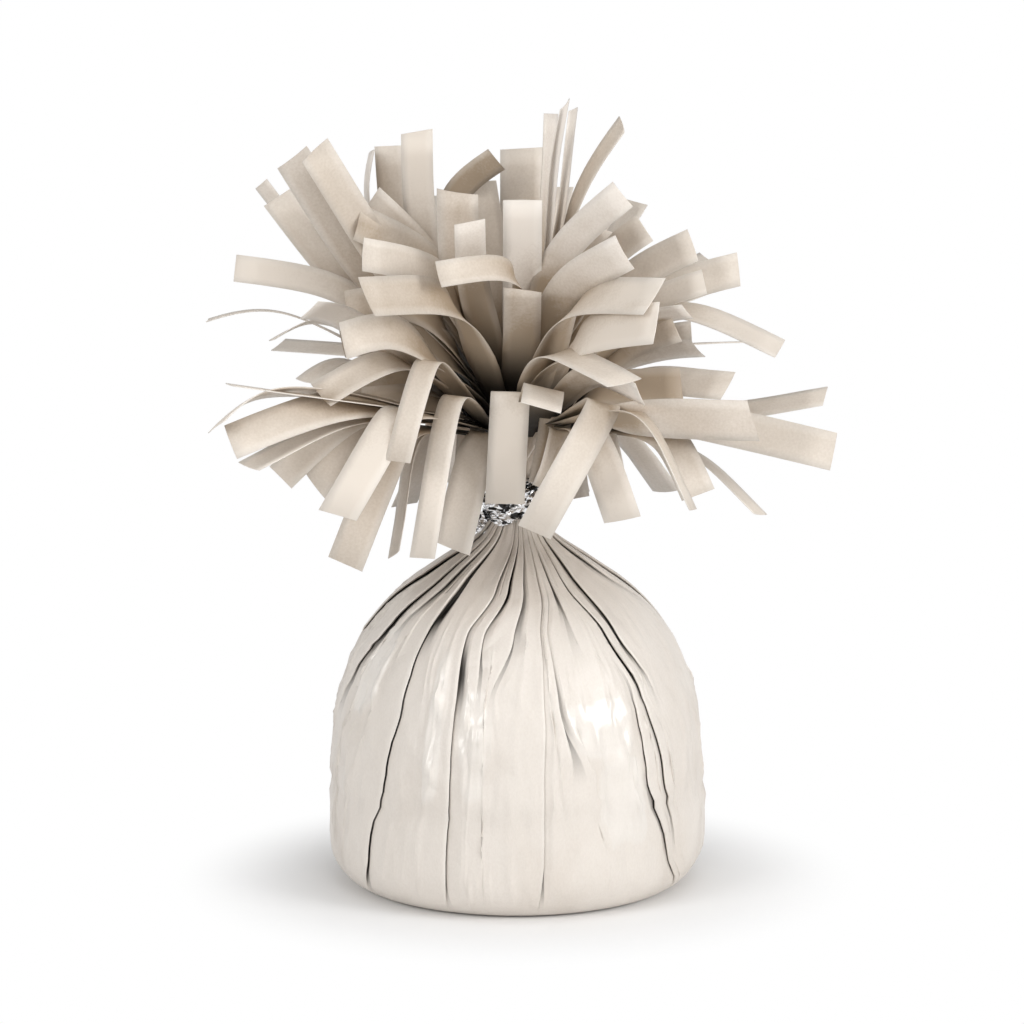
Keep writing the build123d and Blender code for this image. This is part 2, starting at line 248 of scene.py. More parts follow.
# Rim of the tub that shows through the wrap: its height, how far above its edge starts and how far below
# it ends, and how far down it fades, all in millimetres, and how strong it is on average
RIM_HEIGHT = 36.0
RIM_ABOVE = 1.6
RIM_BELOW = 0.6
RIM_FADE = 14
RIM_SHARE = 0.5
# How much shade is painted into the film's tone where it is drawn together, sways in and is pulled in
GATHERED_PAINTED_SHADE = 0.55
SWAY_PAINTED_SHADE = 0.5
PULL_PAINTED_SHADE = 0.25
# How far the wrinkles and the drawn-in patches lie inside the outline, and the least radius in
# millimetres
WRINKLE_INSET = 0.5
PATCH_INSET = 0.6
LEAST_RADIUS = 0.4
# Degrees from which a fold is a hard edge, on the wrap, the strips and the gathered film
WRAP_EDGE = 50
STRIP_EDGE = 60
GATHER_EDGE = 70

# Strips of the fringe that show from the front, in millimetres, sheet by sheet from the outermost: the
# point where the strip bends over, its tip, its width, the way its face looks at the tip, how tight the
# bend is, and for some how much shade is painted into their tone or, below zero, how much light
STRIPS = {
    1: (
        ((-6, -9, 82), (-11, -20, 63), 6.6, (-0.2, -1, 0.1), 3),
        ((-18, -8, 82), (-21, -16, 61), 4.5, (-1, -0.45, 0), 2),
        ((7, -9, 85), (5, -13, 73), 6.0, (0.2, -1, -0.3), 2),
        ((8, -11, 83), (4, -13, 72), 4.0, (0.7, -0.7, 0), 2),
    ),
    2: (
        ((-1, -14, 90), (-2, -17, 70), 6.7, (0, -1, 0.15), 6, -0.5),
        ((-11, -20, 92), (-16, -28, 63), 4.4, (-0.3, -1, 0), 3),
        ((-20, -14, 83), (-29, -24, 61), 6.3, (-0.2, -1, -0.15), 4, 0.15),
        ((12, -12, 84), (18, -20, 68), 6.3, (0.2, -1, 0), 2),
        ((5, -18, 92), (4, -30, 89), 7.0, (0.2, -0.6, 0.8), 1.5),
    ),
    3: (
        ((16, -22, 90), (3, -26, 67), 6.0, (0.1, -1, 0.3), 6),
        ((-15, -19, 97), (-20, -30, 80), 4.5, (-0.3, -1, 0.3), 5),
        ((-20, -24, 88), (-30, -36, 72), 6.6, (-0.2, -1, 0.25), 6),
        ((-22, -6, 85), (-34, -16, 73), 6.3, (-0.3, -0.8, -0.4), 2),
        ((-28, -8, 85), (-40, -20, 75), 5.6, (-0.4, -0.8, 0), 2),
        ((21, -24, 90), (30, -30, 72), 5.5, (0.9, -0.2, 0.2), 1.5),
        ((26, -4, 81), (31, -10, 70), 6.0, (0.3, -0.8, -0.4), 2),
    ),
    4: (
        ((-28, -18, 86), (-45, -32, 80), 5.5, (-0.2, -0.3, 1), 1.5),
        ((-29, -22, 90), (-48, -34, 84), 6.3, (-0.1, -1, 0.5), 1.5),
        ((-43, -26, 94), (-50, -36, 87), 5.0, (-0.6, 0.1, 0.8), 1),
        ((-20, -14, 97), (-33, -24, 90), 6.2, (-0.2, -0.7, 0.7), 1.5),
        ((30, 2, 77), (42, -5, 66), 5.0, (0.7, -0.2, 0.7), 1),
        ((30, -6, 83), (54, -12, 78), 6.6, (0.1, -1, 0.35), 1.5),
        ((12, -20, 94), (21, -26, 91), 6.0, (0.1, -0.7, -0.6), 1.5),
        ((14, -6, 88), (28, -10, 89), 6.4, (0, -1, 0.2), 1.3, 0.6),
        ((-14, -6, 86), (-26, -12, 86), 6.4, (0, -1, 0.2), 1.3, 0.6),
    ),
    5: (
        ((-29, -25, 90), (-48, -30, 93), 5.0, (0, 0.1, 1), 1),
        ((-29, 4, 93), (-36, -2, 88), 6.4, (-0.5, -0.3, 0.6), 1.5),
        ((-18, -2, 90), (-30, -8, 89), 6.2, (-0.1, -0.8, 0.6), 1.3, 0.5),
        ((35, 2, 82), (53, 0, 85), 5.0, (0, -0.5, 1), 1),
        ((14, -18, 85), (40, -24, 86), 7.6, (0.05, -1, -0.25), 1.5, 0.4),
        ((21, -4, 90), (36, -10, 89), 6.0, (0.2, -0.8, 0.7), 1.5),
        ((5, -20, 100), (18, -34, 94), 6.4, (0.3, -0.6, 0.8), 1.2),
        ((-40, 8, 101), (-53, 6, 97), 4.5, (0, 0.12, 1), 1),
    ),
    6: (
        ((20, 6, 92), (31, 2, 93), 6.0, (0.1, -0.7, -0.7), 1),
        ((-29, 2, 105), (-48, -2, 108), 4.7, (0, -1, 0.35), 1.5, -0.3),
        ((-19, 4, 96), (-30, 0, 95), 6.2, (0, -0.9, 0.4), 1.3, 0.5),
        ((-32, -2, 102), (-41, -10, 97), 4.5, (-0.4, 0.2, 0.9), 1),
        ((-29, -14, 102), (-35, -20, 104), 6.0, (0, -0.7, -0.6), 1.5),
        ((-20, -20, 102), (-29, -26, 100), 6.3, (-0.1, -1, 0.2), 1.5, 0.15),
        ((9, -19, 100), (23, -36, 105), 7.2, (0.1, -1, 0.4), 1.2, -0.45),
        ((18, -2, 95), (27, -8, 99), 5.6, (0, -1, 0.2), 1.2),
        ((21, 4, 95), (30, 4, 96), 4.0, (0, -0.8, 0.6), 1.2),
        ((24, 2, 104), (45, -6, 95), 5.0, (0.3, -0.6, 0.8), 1),
        ((21, -6, 101), (29, -10, 102), 5.0, (0, -0.6, -0.7), 1),
    ),
    7: (
        ((-10, -16, 107), (-25, -34, 109), 7.0, (0, -1, 0.4), 1.5, 0.55),
        ((-11, -8, 109), (-26, -22, 114), 5.6, (0, -1, 0.2), 1.5),
        ((-29, 8, 102), (-41, 4, 119), 5.4, (-0.3, -1, 0.3), 1, 0.2),
        ((-16, -4, 104), (-29, -8, 102), 6.2, (0, -1, 0.3), 1.3, 0.4),
        ((-37, 14, 110), (-44, 12, 120), 3.0, (-0.5, -0.7, 0.2), 1),
        ((18, 2, 106), (30, -2, 112), 5.8, (0.2, -1, 0.5), 1.2),
        ((23, 4, 103), (38, 2, 107), 5.8, (0.1, -1, 0.1), 1.2),
        ((19, -4, 102), (32, -10, 107), 4.6, (0.2, -0.9, 0.6), 1.2),
        ((9, -16, 107), (23, -34, 109), 7.2, (0.1, -1, 0.5), 1.2),
        ((10, -4, 102), (21, -8, 104), 6.4, (0, -1, 0.2), 1.3, 0.6),
        ((-12, -4, 96), (-24, -8, 98), 6.2, (0, -1, 0.2), 1.3, 0.6),
    ),
    8: (
        ((-13, 0, 109), (-27, -8, 117), 6.2, (0, -1, 0.4), 1.5),
        ((-15, 4, 109), (-25, 0, 119), 6.0, (0, -1, 0.1), 1.5),
        ((-24, 2, 103), (-38, -8, 128), 6.4, (-0.2, -1, 0.2), 1, 0.4),
        ((-22, -4, 108), (-34, -12, 130), 5.8, (0.2, -1, 0.1), 1, 0.15),
        ((7, -12, 107), (18, -26, 115), 6.6, (0.1, -1, 0.1), 1.2),
        ((13, -2, 109), (22, -8, 116), 5.5, (0, -1, 0.5), 1.2),
    ),
    9: (
        ((-27, 8, 115), (-25, 10, 126), 5.0, (1, 0.2, 0.1), 1),
        ((-21, 10, 107), (-22, 10, 127), 5.0, (-0.2, -1, 0.2), 1),
        ((2, -14, 112), (-13, -24, 111), 4.6, (0, -1, 0.4), 1.6),
        ((1, -12, 99), (1, -16, 107), 6.4, (0, -1, -0.1), 1, 0.2),
        ((5, -8, 111), (18, -20, 124), 5.4, (0.2, -1, 0.4), 1.2),
        ((9, -2, 109), (14, -6, 116), 5.0, (0.3, -1, 0.3), 1),
    ),
    10: (
        ((-17, 4, 108), (-17, 2, 131), 5.4, (0, -1, 0.15), 1),
        ((-14, 8, 118), (-3.5, 2, 126), 4.6, (-0.4, -0.8, -0.4), 1.5, 0.9),
        ((-8, -10, 107), (-8, -18, 119), 5.5, (0.2, -1, 0.5), 1),
        ((9, -8, 121), (18, -10, 134), 5.0, (-0.75, -0.35, 0.5), 1, 0.3),
    ),
    11: (
        ((-10, -6, 105), (-10, -12, 123), 7.0, (0, -1, 0.1), 1, 0.4),
        ((1, -6, 103), (1, -14, 122), 6.6, (0, -1, 0.3), 1, -0.3),
        ((5, 8, 116), (6, 8, 133), 5.0, (0.9, -0.5, 0), 1),
    ),
    12: (
        ((1, 12, 110), (1, 14, 126), 7.6, (0, -1, 0.2), 1),
        ((5, 0, 109), (8, 0, 136), 6.0, (1, -0.25, 0), 1),
        ((7, -4, 113), (10, -6, 136), 5.5, (1, -0.3, 0.1), 1),
    ),
}
# Strips at the back, where the solids have them: for each sheet its final direction above level, and the
# length of each strip by the strip's angle round from the front
BACK_STRIPS = (
    (-80, {90: 26, 122: 27, 150: 27, 180: 27, 210: 27, 242: 27}),
    (-62, {130: 34, 160: 34, 190: 34, 225: 34, 255: 36}),
    (-42, {136: 42, 168: 42, 200: 42, 232: 42}),
    (-22, {140: 46, 170: 46, 195: 46, 225: 46}),
    (-5, {118: 46, 148: 47, 178: 47, 210: 47, 238: 47}),
    (10, {136: 46, 165: 47, 200: 47, 228: 47}),
    (24, {120: 42, 150: 45, 180: 45, 205: 45, 232: 47}),
    (38, {140: 42, 175: 43, 210: 43}),
    (50, {120: 38, 160: 38, 195: 38}),
    (62, {160: 36, 210: 36}),
    (73, {220: 36}),
    (83, {}),
)
# Of the strips at the back: the direction above level in which they leave the root and the length of
# their bend on the outermost and the innermost sheet, their scatter in degrees, their twist in radians,
# their widths in millimetres and how tight the bend is
LAUNCH = (60, 86)
BEND = (11.0, 26.0)
LEAN_SCATTER = 4.5
BACK_TWIST = 0.3
BACK_WIDTHS = (5.6, 6.8)
BACK_BEND = 1.5
# Roots of the strips in millimetres: radius on the outermost and the innermost sheet, fall of the crown
# for each millimetre outwards, and how deep the strips start in the gathered film
ROOT_OUTER = 7.9
ROOT_INNER = 1.2
CROWN_SLOPE = 0.941
ROOT_SINK = 1.5
# Shape of a strip: rows and columns, how strongly its elbow draws it, least and for each step of
# tightness, over which share of its length it turns and widens, its width at the root, and the range of
# its cup, waves and slant
STRIP_ROWS = 22
STRIP_COLUMNS = 4
ELBOW_PULL = (1.2, 1.3)
STRIP_TURN = (0.1, 0.75)
STRIP_WIDENING = (0.0, 0.3)
ROOT_WIDTH = 0.5
STRIP_CUPS = (-0.6, 1.4)
STRIP_WAVES = (0.7, 1.6)
TIP_SLANTS = (-0.22, 0.22)
# Tone of a strip: its range, how much shade is painted into it at the root, over how much of the way to
# the elbow and over what length in millimetres at most that fades, the most length of the painted shadow
# at the root and the share of it that is fully dark, from which place across the cut edges get a painted
# highlight, under which shadow and by how much, and how much darker and warmer the back of a strip is
# painted as shade on its underside
STRIP_TONES = (-0.1, 0.22)
ROOT_PAINTED_SHADE = 1.0
DEEP_SHARE = 1.45
DEEP_LENGTH = 44
SHADED_LENGTH = 18
SHADOW_CORE = 0.25
EDGE_PLACE = 0.49
EDGE_SHADOW = 0.3
EDGE_GLEAM = 0.25
BACK_PAINTED_SHADE_TINT = (0.93, 0.91, 0.88)
# Shade painted where strips shelter each other from the light: rays cast outwards from a point, their
# spread in degrees, how far off another strip counts and how near counts as the strip itself in
# millimetres, how much less a far one counts, and how much shade is painted into the tone of a sheltered
# point
SHELTER_RAYS = 20
SHELTER_SPREAD = 62
SHELTER_REACH = 22
SHELTER_NEAR = 0.5
SHELTER_FADE = 0.6
SHELTER_PAINTED_SHADE = 1.4

# Gathered film: radius of the mouth and height of the top of each layer in millimetres, columns and rings
# of a layer, radius of the waist and height of the bottom from the pivot in millimetres on the outermost
# layer with their change from layer to layer, and over which share of its height a layer flares
GATHER_LAYERS = ((8.6, 81.0), (6.2, 82.6), (3.9, 84.6), (1.9, 86.4))
GATHER_COLUMNS = 132
GATHER_RINGS = 9
WAIST = (2.3, -0.5)
BOTTOM = (-0.4, 0.1)
GATHER_FLARE = (0.42, 1.1)
# Folds of the gathered film: how many broad and fine ones, how far noise shifts the broad ones, its scale
# and its plane, the share of the fine ones, and the depth at the waist and what the open mouth adds to it
# in metres
BROAD_FOLDS = 19
FINE_FOLDS = 31
FOLD_SHIFT = 3
FOLD_SCALE = 1.7
FOLD_PLANE = 0.5
FINE_FOLD_SHARE = 0.5
FOLD_DEPTH = 0.00028
MOUTH_DEPTH = 0.0007
# Ragged mouth of the gathered film: its noise's scale, step from layer to layer and plane, its height in
# metres, how unevenly the folds lie round it in radians and how often that changes, and the film's flat
# height in metres
RAGGED_SCALE = 6
RAGGED_STEP = 3.0
RAGGED_PLANE = 4.0
RAGGED_HEIGHT = 0.0016
UNEVEN = 0.06
UNEVEN_FOLDS = 7

# Foil tie: rows and columns, turns, the share of its length that is wound, how far the winding grows and
# weaves in metres, the half waves that it weaves, and the thickness of the foil in metres
TIE_ROWS = 96
TIE_COLUMNS = 8
TIE_TURNS = 2.2
WOUND_SHARE = 0.84
WINDING_GROWTH = 0.0007
WINDING_WEAVE = 0.0011
WEAVE_HALVES = 1.5
FOIL_FILM = 0.00006
# Twisted end of the tie: its length in millimetres, where its end lies in metres, its twist in degrees,
# how far it narrows, and the share over which the twist sets in
TAIL_LENGTH = 9.0
TAIL_END = (-0.0022, 0.0028)
TAIL_TWIST = 400
TAIL_NARROWING = 0.35
TAIL_START = 0.25
# Crumples of the foil: their scales across and along, the share of the noise, the scatter out of the foil
# and across it, and the start value of that scatter
FOIL_SCALE = (7, 60)
FOIL_NOISE = 1.2
FOIL_SCATTER = 0.25
FOIL_SHEAR = 0.03
FOIL_SEED = 5

# Lamps: size in metres, and angle round from the front and rise above level in degrees
LAMPS = {"key": (0.4, 58, 19), "fill": (0.4, -44, 21), "front": (0.5, 6, 30), "top": (0.6, 20, 78)}
LAMP_DISTANCE = 1.0
# Floor and camera: radius of the floor in metres and its segments, over which distances in metres it
# turns to plain white, what the camera looks at and how far it sees in metres, and its sensor's width in
# millimetres
FLOOR_RADIUS = 1.6
FLOOR_SEGMENTS = 96
FLOOR_FADE = (0.028, 0.06)
CAMERA_TARGET = Vector((-0.00077, 0, 0.065))
CAMERA_REACH = 20
SENSOR_WIDTH = 36


class WrapSettings(bpy.types.PropertyGroup):
    """Film wrapped round the ballast"""

    film: FloatProperty(
        name="Film thickness",
        description="Thickness of the wrapping film",
        default=0.00014,
        min=0.0,
        unit="LENGTH",
    )
    lap: FloatProperty(
        name="Pleat lap",
        description="How far one panel laps the next",
        default=0.0032,
        min=0.0,
        unit="LENGTH",
    )
    step: FloatProperty(
        name="Pleat step",
        description="Height of a pleat's edge over the next panel",
        default=0.0008,
        min=0.0,
        unit="LENGTH",
    )
    wrinkle: FloatProperty(
        name="Wrinkles",
        description="Height of the shallow wrinkles in the film",
        default=0.00045,
        min=0.0,
        unit="LENGTH",
    )
    pale: FloatVectorProperty(
        name="Film colour",
        description="Lit colour of the pearl film",
        subtype="COLOR",
        default=(0.755, 0.70, 0.64),
    )
    # Deeper tone of the film's mottling, and the colour that the shade painted where it is drawn in and in
    # its hollows mixes to
    deep: FloatVectorProperty(
        name="Film shade",
        description="Deeper tone of the pearl film",
        subtype="COLOR",
        default=(0.56, 0.49, 0.42),
    )


class FringeSettings(bpy.types.PropertyGroup):
    """Strips of film above the tie"""

    film: FloatProperty(
        name="Strip thickness",
        description="Thickness of a strip",
        default=0.00016,
        min=0.0,
        unit="LENGTH",
    )
    cup: FloatProperty(
        name="Cup", description="Curl across a strip as a share of its width", default=0.045
    )
    wave: FloatProperty(
        name="Waviness",
        description="Height of the slow waves along a strip",
        default=0.0004,
        min=0.0,
        unit="LENGTH",
    )
    seed: IntProperty(name="Seed", description="Start value of the strips' scatter", default=11)
    pale: FloatVectorProperty(
        name="Strip colour",
        description="Lit colour of a strip",
        subtype="COLOR",
        default=(0.80, 0.735, 0.665),
    )
    # Colour that the strips' random tone and the shade painted at their roots, under other strips and on
    # the gathered film mix to
    deep: FloatVectorProperty(
        name="Strip shade",
        description="Deeper tone towards a strip's root",
        subtype="COLOR",
        default=(0.405, 0.315, 0.225),
    )


class TieSettings(bpy.types.PropertyGroup):
    """Foil tie round the neck"""

    width: FloatProperty(
        name="Foil width", description="Width of the foil tape", default=0.0046, min=0.0, unit="LENGTH"
    )
    radius: FloatProperty(
        name="Winding radius",
        description="Inner radius of the winding",
        default=0.0052,
        min=0.0,
        unit="LENGTH",
    )
    tilt: FloatProperty(
        name="Tilt",
        description="How far the winding climbs to the right",
        default=math.radians(26),
        subtype="ANGLE",
    )
    crumple: FloatProperty(
        name="Crumple",
        description="Depth of the creases in the foil",
        default=0.0004,
        min=0.0,
        unit="LENGTH",
    )
    colour: FloatVectorProperty(
        name="Foil colour",
        description="Colour of the foil",
        subtype="COLOR",
        default=(0.86, 0.86, 0.87),
    )


class BallastSettings(bpy.types.PropertyGroup):
    """Tub, lid, sand and wire inside"""

    tub: FloatVectorProperty(
        name="Tub colour",
        description="Colour of the moulded tub and lid",
        subtype="COLOR",
        default=(0.72, 0.70, 0.66),
    )
    sand: FloatVectorProperty(
        name="Sand colour",
        description="Colour of the sand fill",
        subtype="COLOR",
        default=(0.52, 0.42, 0.29),
    )
    wire: FloatVectorProperty(
        name="Wire colour",
        description="Colour of the tie's wire",
        subtype="COLOR",
        default=(0.55, 0.55, 0.56),
    )


class StageSettings(bpy.types.PropertyGroup):
    """Floor, lights and camera"""

    floor: FloatVectorProperty(
        name="Floor colour", description="Colour of the floor", subtype="COLOR", default=(0.9, 0.9, 0.9)
    )
    elevation: FloatProperty(
        name="Camera elevation",
        description="Camera angle above level",
        default=math.radians(12),
        subtype="ANGLE",
    )
    distance: FloatProperty(
        name="Camera distance",
        description="Camera distance from its target",
        default=1.467,
        unit="LENGTH",
    )
    lens: FloatProperty(name="Lens", description="Focal length in millimetres", default=300.0)
    ambient: FloatProperty(name="Ambient", description="Strength of the even light", default=0.36)
    key: FloatProperty(name="Key", description="Power of the light from the right", default=4.9)
    fill: FloatProperty(name="Fill", description="Power of the light from the left", default=3.1)
    front: FloatProperty(name="Front", description="Power of the light from the front", default=1.3)
    top: FloatProperty(name="Top", description="Power of the light from above", default=1.6)


def smooth_step(low, high, value):
    """Ease from 0 at low to 1 at high."""
    share = min(1.0, max(0.0, (value - low) / (high - low)))
    return share * share * (3 - 2 * share)


def around(radius, angle, height):
    """Point at an angle in radians round from the front towards +X."""
    return Vector((radius * math.sin(angle), -radius * math.cos(angle), height))


def place_piece(name, bm, materials, film=0.0, offset=-1.0, back=0):
    """Turn a bmesh into a scene object at the origin, with a film thickness if one is given."""
    mesh = bpy.data.meshes.new(name)
    bm.to_mesh(mesh)
    bm.free()
    piece = bpy.data.objects.new(name, mesh)
    bpy.context.scene.collection.objects.link(piece)
    for material in materials:
        mesh.materials.append(material)
    if film:
        wall = piece.modifiers.new("film", "SOLIDIFY")
        wall.thickness = film
        wall.offset = offset
        wall.material_offset = back
        wall.material_offset_rim = 0
    return piece


def shade_folds(bm, limit):
    """Shade the film smooth, with a hard edge wherever it folds more than the limit in degrees."""
    for face in bm.faces:
        face.smooth = True
    for edge in bm.edges:
        edge.smooth = edge.calc_face_angle(0.0) < math.radians(limit)


def add_node(tree, kind, inputs=(), **settings):
    """Add a shader node, set its properties, and link or set its inputs by name or index."""
    made = tree.nodes.new(kind)
    for name, value in settings.items():
        setattr(made, name, value)
    for name, value in inputs:
        if isinstance(value, bpy.types.NodeSocket):
            tree.links.new(value, made.inputs[name])
        else:
            made.inputs[name].default_value = value
    return made


def math_node(tree, operation, first, second, clamp=False):
    """Arithmetic on two values or sockets."""
    inputs = ((0, first), (1, second))
    made = add_node(tree, "ShaderNodeMath", inputs, operation=operation, use_clamp=clamp)
    return made.outputs[0]


def mix_colour(tree, share, first, second):
    """Blend two colours by a share, through the mix node's sockets for colours."""
    made = add_node(tree, "ShaderNodeMix", ((0, share), (6, first), (7, second)), data_type="RGBA")
    return made.outputs[2]


def ramp_value(tree, value, low, high):
    """Map a value from low..high to 0..1, eased."""
    made = add_node(
        tree,
        "ShaderNodeMapRange",
        (("Value", value), ("From Min", low), ("From Max", high)),
        interpolation_type="SMOOTHSTEP",
    )
    return made.outputs["Result"]


def new_group(name, inputs, outputs):
    """Start a shader node group with named sockets."""
    tree = bpy.data.node_groups.new(name, "ShaderNodeTree")
    for label, kind, value in inputs:
        socket = tree.interface.new_socket(name=label, in_out="INPUT", socket_type=kind)
        if value is not None:
            socket.default_value = value
    for label, kind in outputs:
        tree.interface.new_socket(name=label, in_out="OUTPUT", socket_type=kind)
    return tree, tree.nodes.new("NodeGroupInput"), tree.nodes.new("NodeGroupOutput")


def film_tone_group():
    """Pearl film: soft mottling and fine grain between a pale and a deep tone."""
    name = "film_tone"
    if name in bpy.data.node_groups:
        return bpy.data.node_groups[name]
    tree, start, end = new_group(
        name,
        (
            ("Vector", "NodeSocketVector", None),
            ("Pale", "NodeSocketColor", (0.8, 0.73, 0.65, 1)),
            ("Deep", "NodeSocketColor", (0.5, 0.43, 0.36, 1)),
            ("Shade", "NodeSocketFloat", 0.2),
            ("Mottle", "NodeSocketFloat", 0.25),
            ("Grain", "NodeSocketFloat", 0.4),
        ),
        (("Color", "NodeSocketColor"), ("Height", "NodeSocketFloat")),
    )
    place = start.outputs["Vector"]
    inputs = (("Vector", place), ("Scale", MOTTLE_SCALE), ("Detail", 4.0))
    mottle = add_node(tree, "ShaderNodeTexNoise", inputs)
    inputs = (("Vector", place), ("Scale", GRAIN_SCALE), ("Detail", 2.0))
    grain = add_node(tree, "ShaderNodeTexNoise", inputs)
    mottled = math_node(tree, "SUBTRACT", mottle.outputs["Fac"], 0.5)
    mottled = math_node(tree, "MULTIPLY", mottled, start.outputs["Mottle"])
    grained = math_node(tree, "SUBTRACT", grain.outputs["Fac"], 0.5)
    grained = math_node(tree, "MULTIPLY", grained, start.outputs["Grain"])
    shade = math_node(tree, "ADD", start.outputs["Shade"], mottled)
    shade = math_node(tree, "ADD", shade, grained, clamp=True)
    colour = mix_colour(tree, shade, start.outputs["Pale"], start.outputs["Deep"])
    tree.links.new(colour, end.inputs["Color"])
    height = math_node(tree, "MULTIPLY", mottle.outputs["Fac"], MOTTLE_RELIEF)
    height = math_node(tree, "ADD", height, grain.outputs["Fac"])
    tree.links.new(height, end.inputs["Height"])
    return tree


def film_crinkle_group():
    """Fine creases of handled film: thin ridges that wander, drawn out along the pull of the film."""
    name = "film_crinkle"
    if name in bpy.data.node_groups:
        return bpy.data.node_groups[name]
    tree, start, end = new_group(
        name,
        (("Vector", "NodeSocketVector", None), ("Scale", "NodeSocketFloat", 90.0)),
        (("Height", "NodeSocketFloat"), ("Ridge", "NodeSocketFloat")),
    )
    place = start.outputs["Vector"]
    scale = start.outputs["Scale"]
    bent = add_node(tree, "ShaderNodeTexNoise", (("Vector", place), ("Scale", BEND_SCALE), ("Detail", 2.0)))
    inputs = ((0, bent.outputs["Color"]), (1, BEND_REACH))
    offset = add_node(tree, "ShaderNodeVectorMath", inputs, operation="MULTIPLY")
    moved = add_node(tree, "ShaderNodeVectorMath", ((0, place), (1, offset.outputs[0])), operation="ADD")
    cells = add_node(
        tree,
        "ShaderNodeTexVoronoi",
        (("Vector", moved.outputs[0]), ("Scale", scale)),
        feature="DISTANCE_TO_EDGE",
    )
    ridge = math_node(tree, "SUBTRACT", 1.0, ramp_value(tree, cells.outputs["Distance"], 0.0, RIDGE_WIDTH))
    slow = add_node(tree, "ShaderNodeTexNoise", (("Vector", place), ("Scale", scale), ("Detail", 3.0)))
    height = math_node(tree, "MULTIPLY", ridge, RIDGE_HEIGHT)
    height = math_node(tree, "ADD", height, slow.outputs["Fac"])
    tree.links.new(height, end.inputs["Height"])
    tree.links.new(ridge, end.inputs["Ridge"])
    return tree


def new_material(name, **constants):
    """Start a material and set its shader's constant sockets."""
    material = bpy.data.materials.new(name)
    material.use_nodes = True
    tree = material.node_tree
    shader = tree.nodes["Principled BSDF"]
    for label, value in constants.items():
        shader.inputs[label.replace("_", " ")].default_value = value
    return material, tree, shader


def object_place(tree, stretch=(1.0, 1.0, 1.0)):
    """Object coordinates, stretched along the axes."""
    place = add_node(tree, "ShaderNodeTexCoord").outputs["Object"]
    return add_node(tree, "ShaderNodeMapping", (("Vector", place), ("Scale", stretch))).outputs["Vector"]


def film_material(
    name, pale, deep, *, roughness, crinkle, bump, coat_roughness, shade=0.0, coat=0.0, stretch=(1, 1, 1)
):
    """Pearl film with mottling, grain and creases, with shade painted in where its shadow attribute is
    high and a highlight painted in where it is below zero.
    """
    material, tree, shader = new_material(name, Coat_Roughness=coat_roughness)
    place = object_place(tree, stretch)
    tone = add_node(tree, "ShaderNodeGroup", node_tree=film_tone_group())
    tree.links.new(place, tone.inputs["Vector"])
    tone.inputs["Pale"].default_value = (*pale, 1)
    tone.inputs["Deep"].default_value = (*deep, 1)
    # The tone attribute holds random tone on the strips, and shade painted in where light would be hidden
    own = add_node(tree, "ShaderNodeAttribute", attribute_name="tone").outputs["Fac"]
    tree.links.new(math_node(tree, "ADD", own, shade), tone.inputs["Shade"])
    film = tone.outputs["Color"]
    if coat:
        inputs = (("Vector", place), ("Scale", GLOSS_SCALE), ("Detail", 5.0))
        patches = add_node(tree, "ShaderNodeTexNoise", inputs).outputs["Fac"]
        patches = math_node(tree, "MULTIPLY", patches, GLOSS_BREAK)
        gloss = add_node(tree, "ShaderNodeAttribute", attribute_name="gloss").outputs["Fac"]
        glossy = ramp_value(tree, math_node(tree, "MULTIPLY", gloss, patches), *GLOSS_RANGE)
        tree.links.new(math_node(tree, "MULTIPLY", glossy, coat), shader.inputs["Coat Weight"])
        # Painted sheen: the glossy patches are mixed towards the painted highlight colour
        film = mix_colour(tree, math_node(tree, "MULTIPLY", glossy, PAINTED_SHEEN_SHARE), film, (*PAINTED_HIGHLIGHT_COLOUR, 1))
    creases = add_node(tree, "ShaderNodeGroup", node_tree=film_crinkle_group())
    tree.links.new(place, creases.inputs["Vector"])
    creases.inputs["Scale"].default_value = crinkle
    # Painted shade: a high shadow attribute mixes the film towards the painted shade colour
    shadow = add_node(tree, "ShaderNodeAttribute", attribute_name="shadow").outputs["Fac"]
    dark = math_node(tree, "MAXIMUM", shadow, 0.0, clamp=True)
    shaded = mix_colour(tree, dark, film, (*PAINTED_SHADE_COLOUR, 1))
    # Painted highlight: a shadow attribute below zero mixes the film towards the painted highlight colour
    light = math_node(tree, "MULTIPLY", shadow, -1.0, clamp=True)
    tree.links.new(mix_colour(tree, light, shaded, (*PAINTED_HIGHLIGHT_COLOUR, 1)), shader.inputs["Base Color"])
    spread = math_node(tree, "MULTIPLY", tone.outputs["Height"], ROUGH_SPREAD)
    rough = math_node(tree, "ADD", spread, roughness - ROUGH_MEAN)
    tree.links.new(rough, shader.inputs["Roughness"])
    relief = math_node(tree, "MULTIPLY", tone.outputs["Height"], TONE_RELIEF)
    height = math_node(tree, "ADD", creases.outputs["Height"], relief)
    lumps = add_node(tree, "ShaderNodeBump", (("Height", height), ("Strength", 1.0), ("Distance", bump)))
    tree.links.new(lumps.outputs["Normal"], shader.inputs["Normal"])
    return material


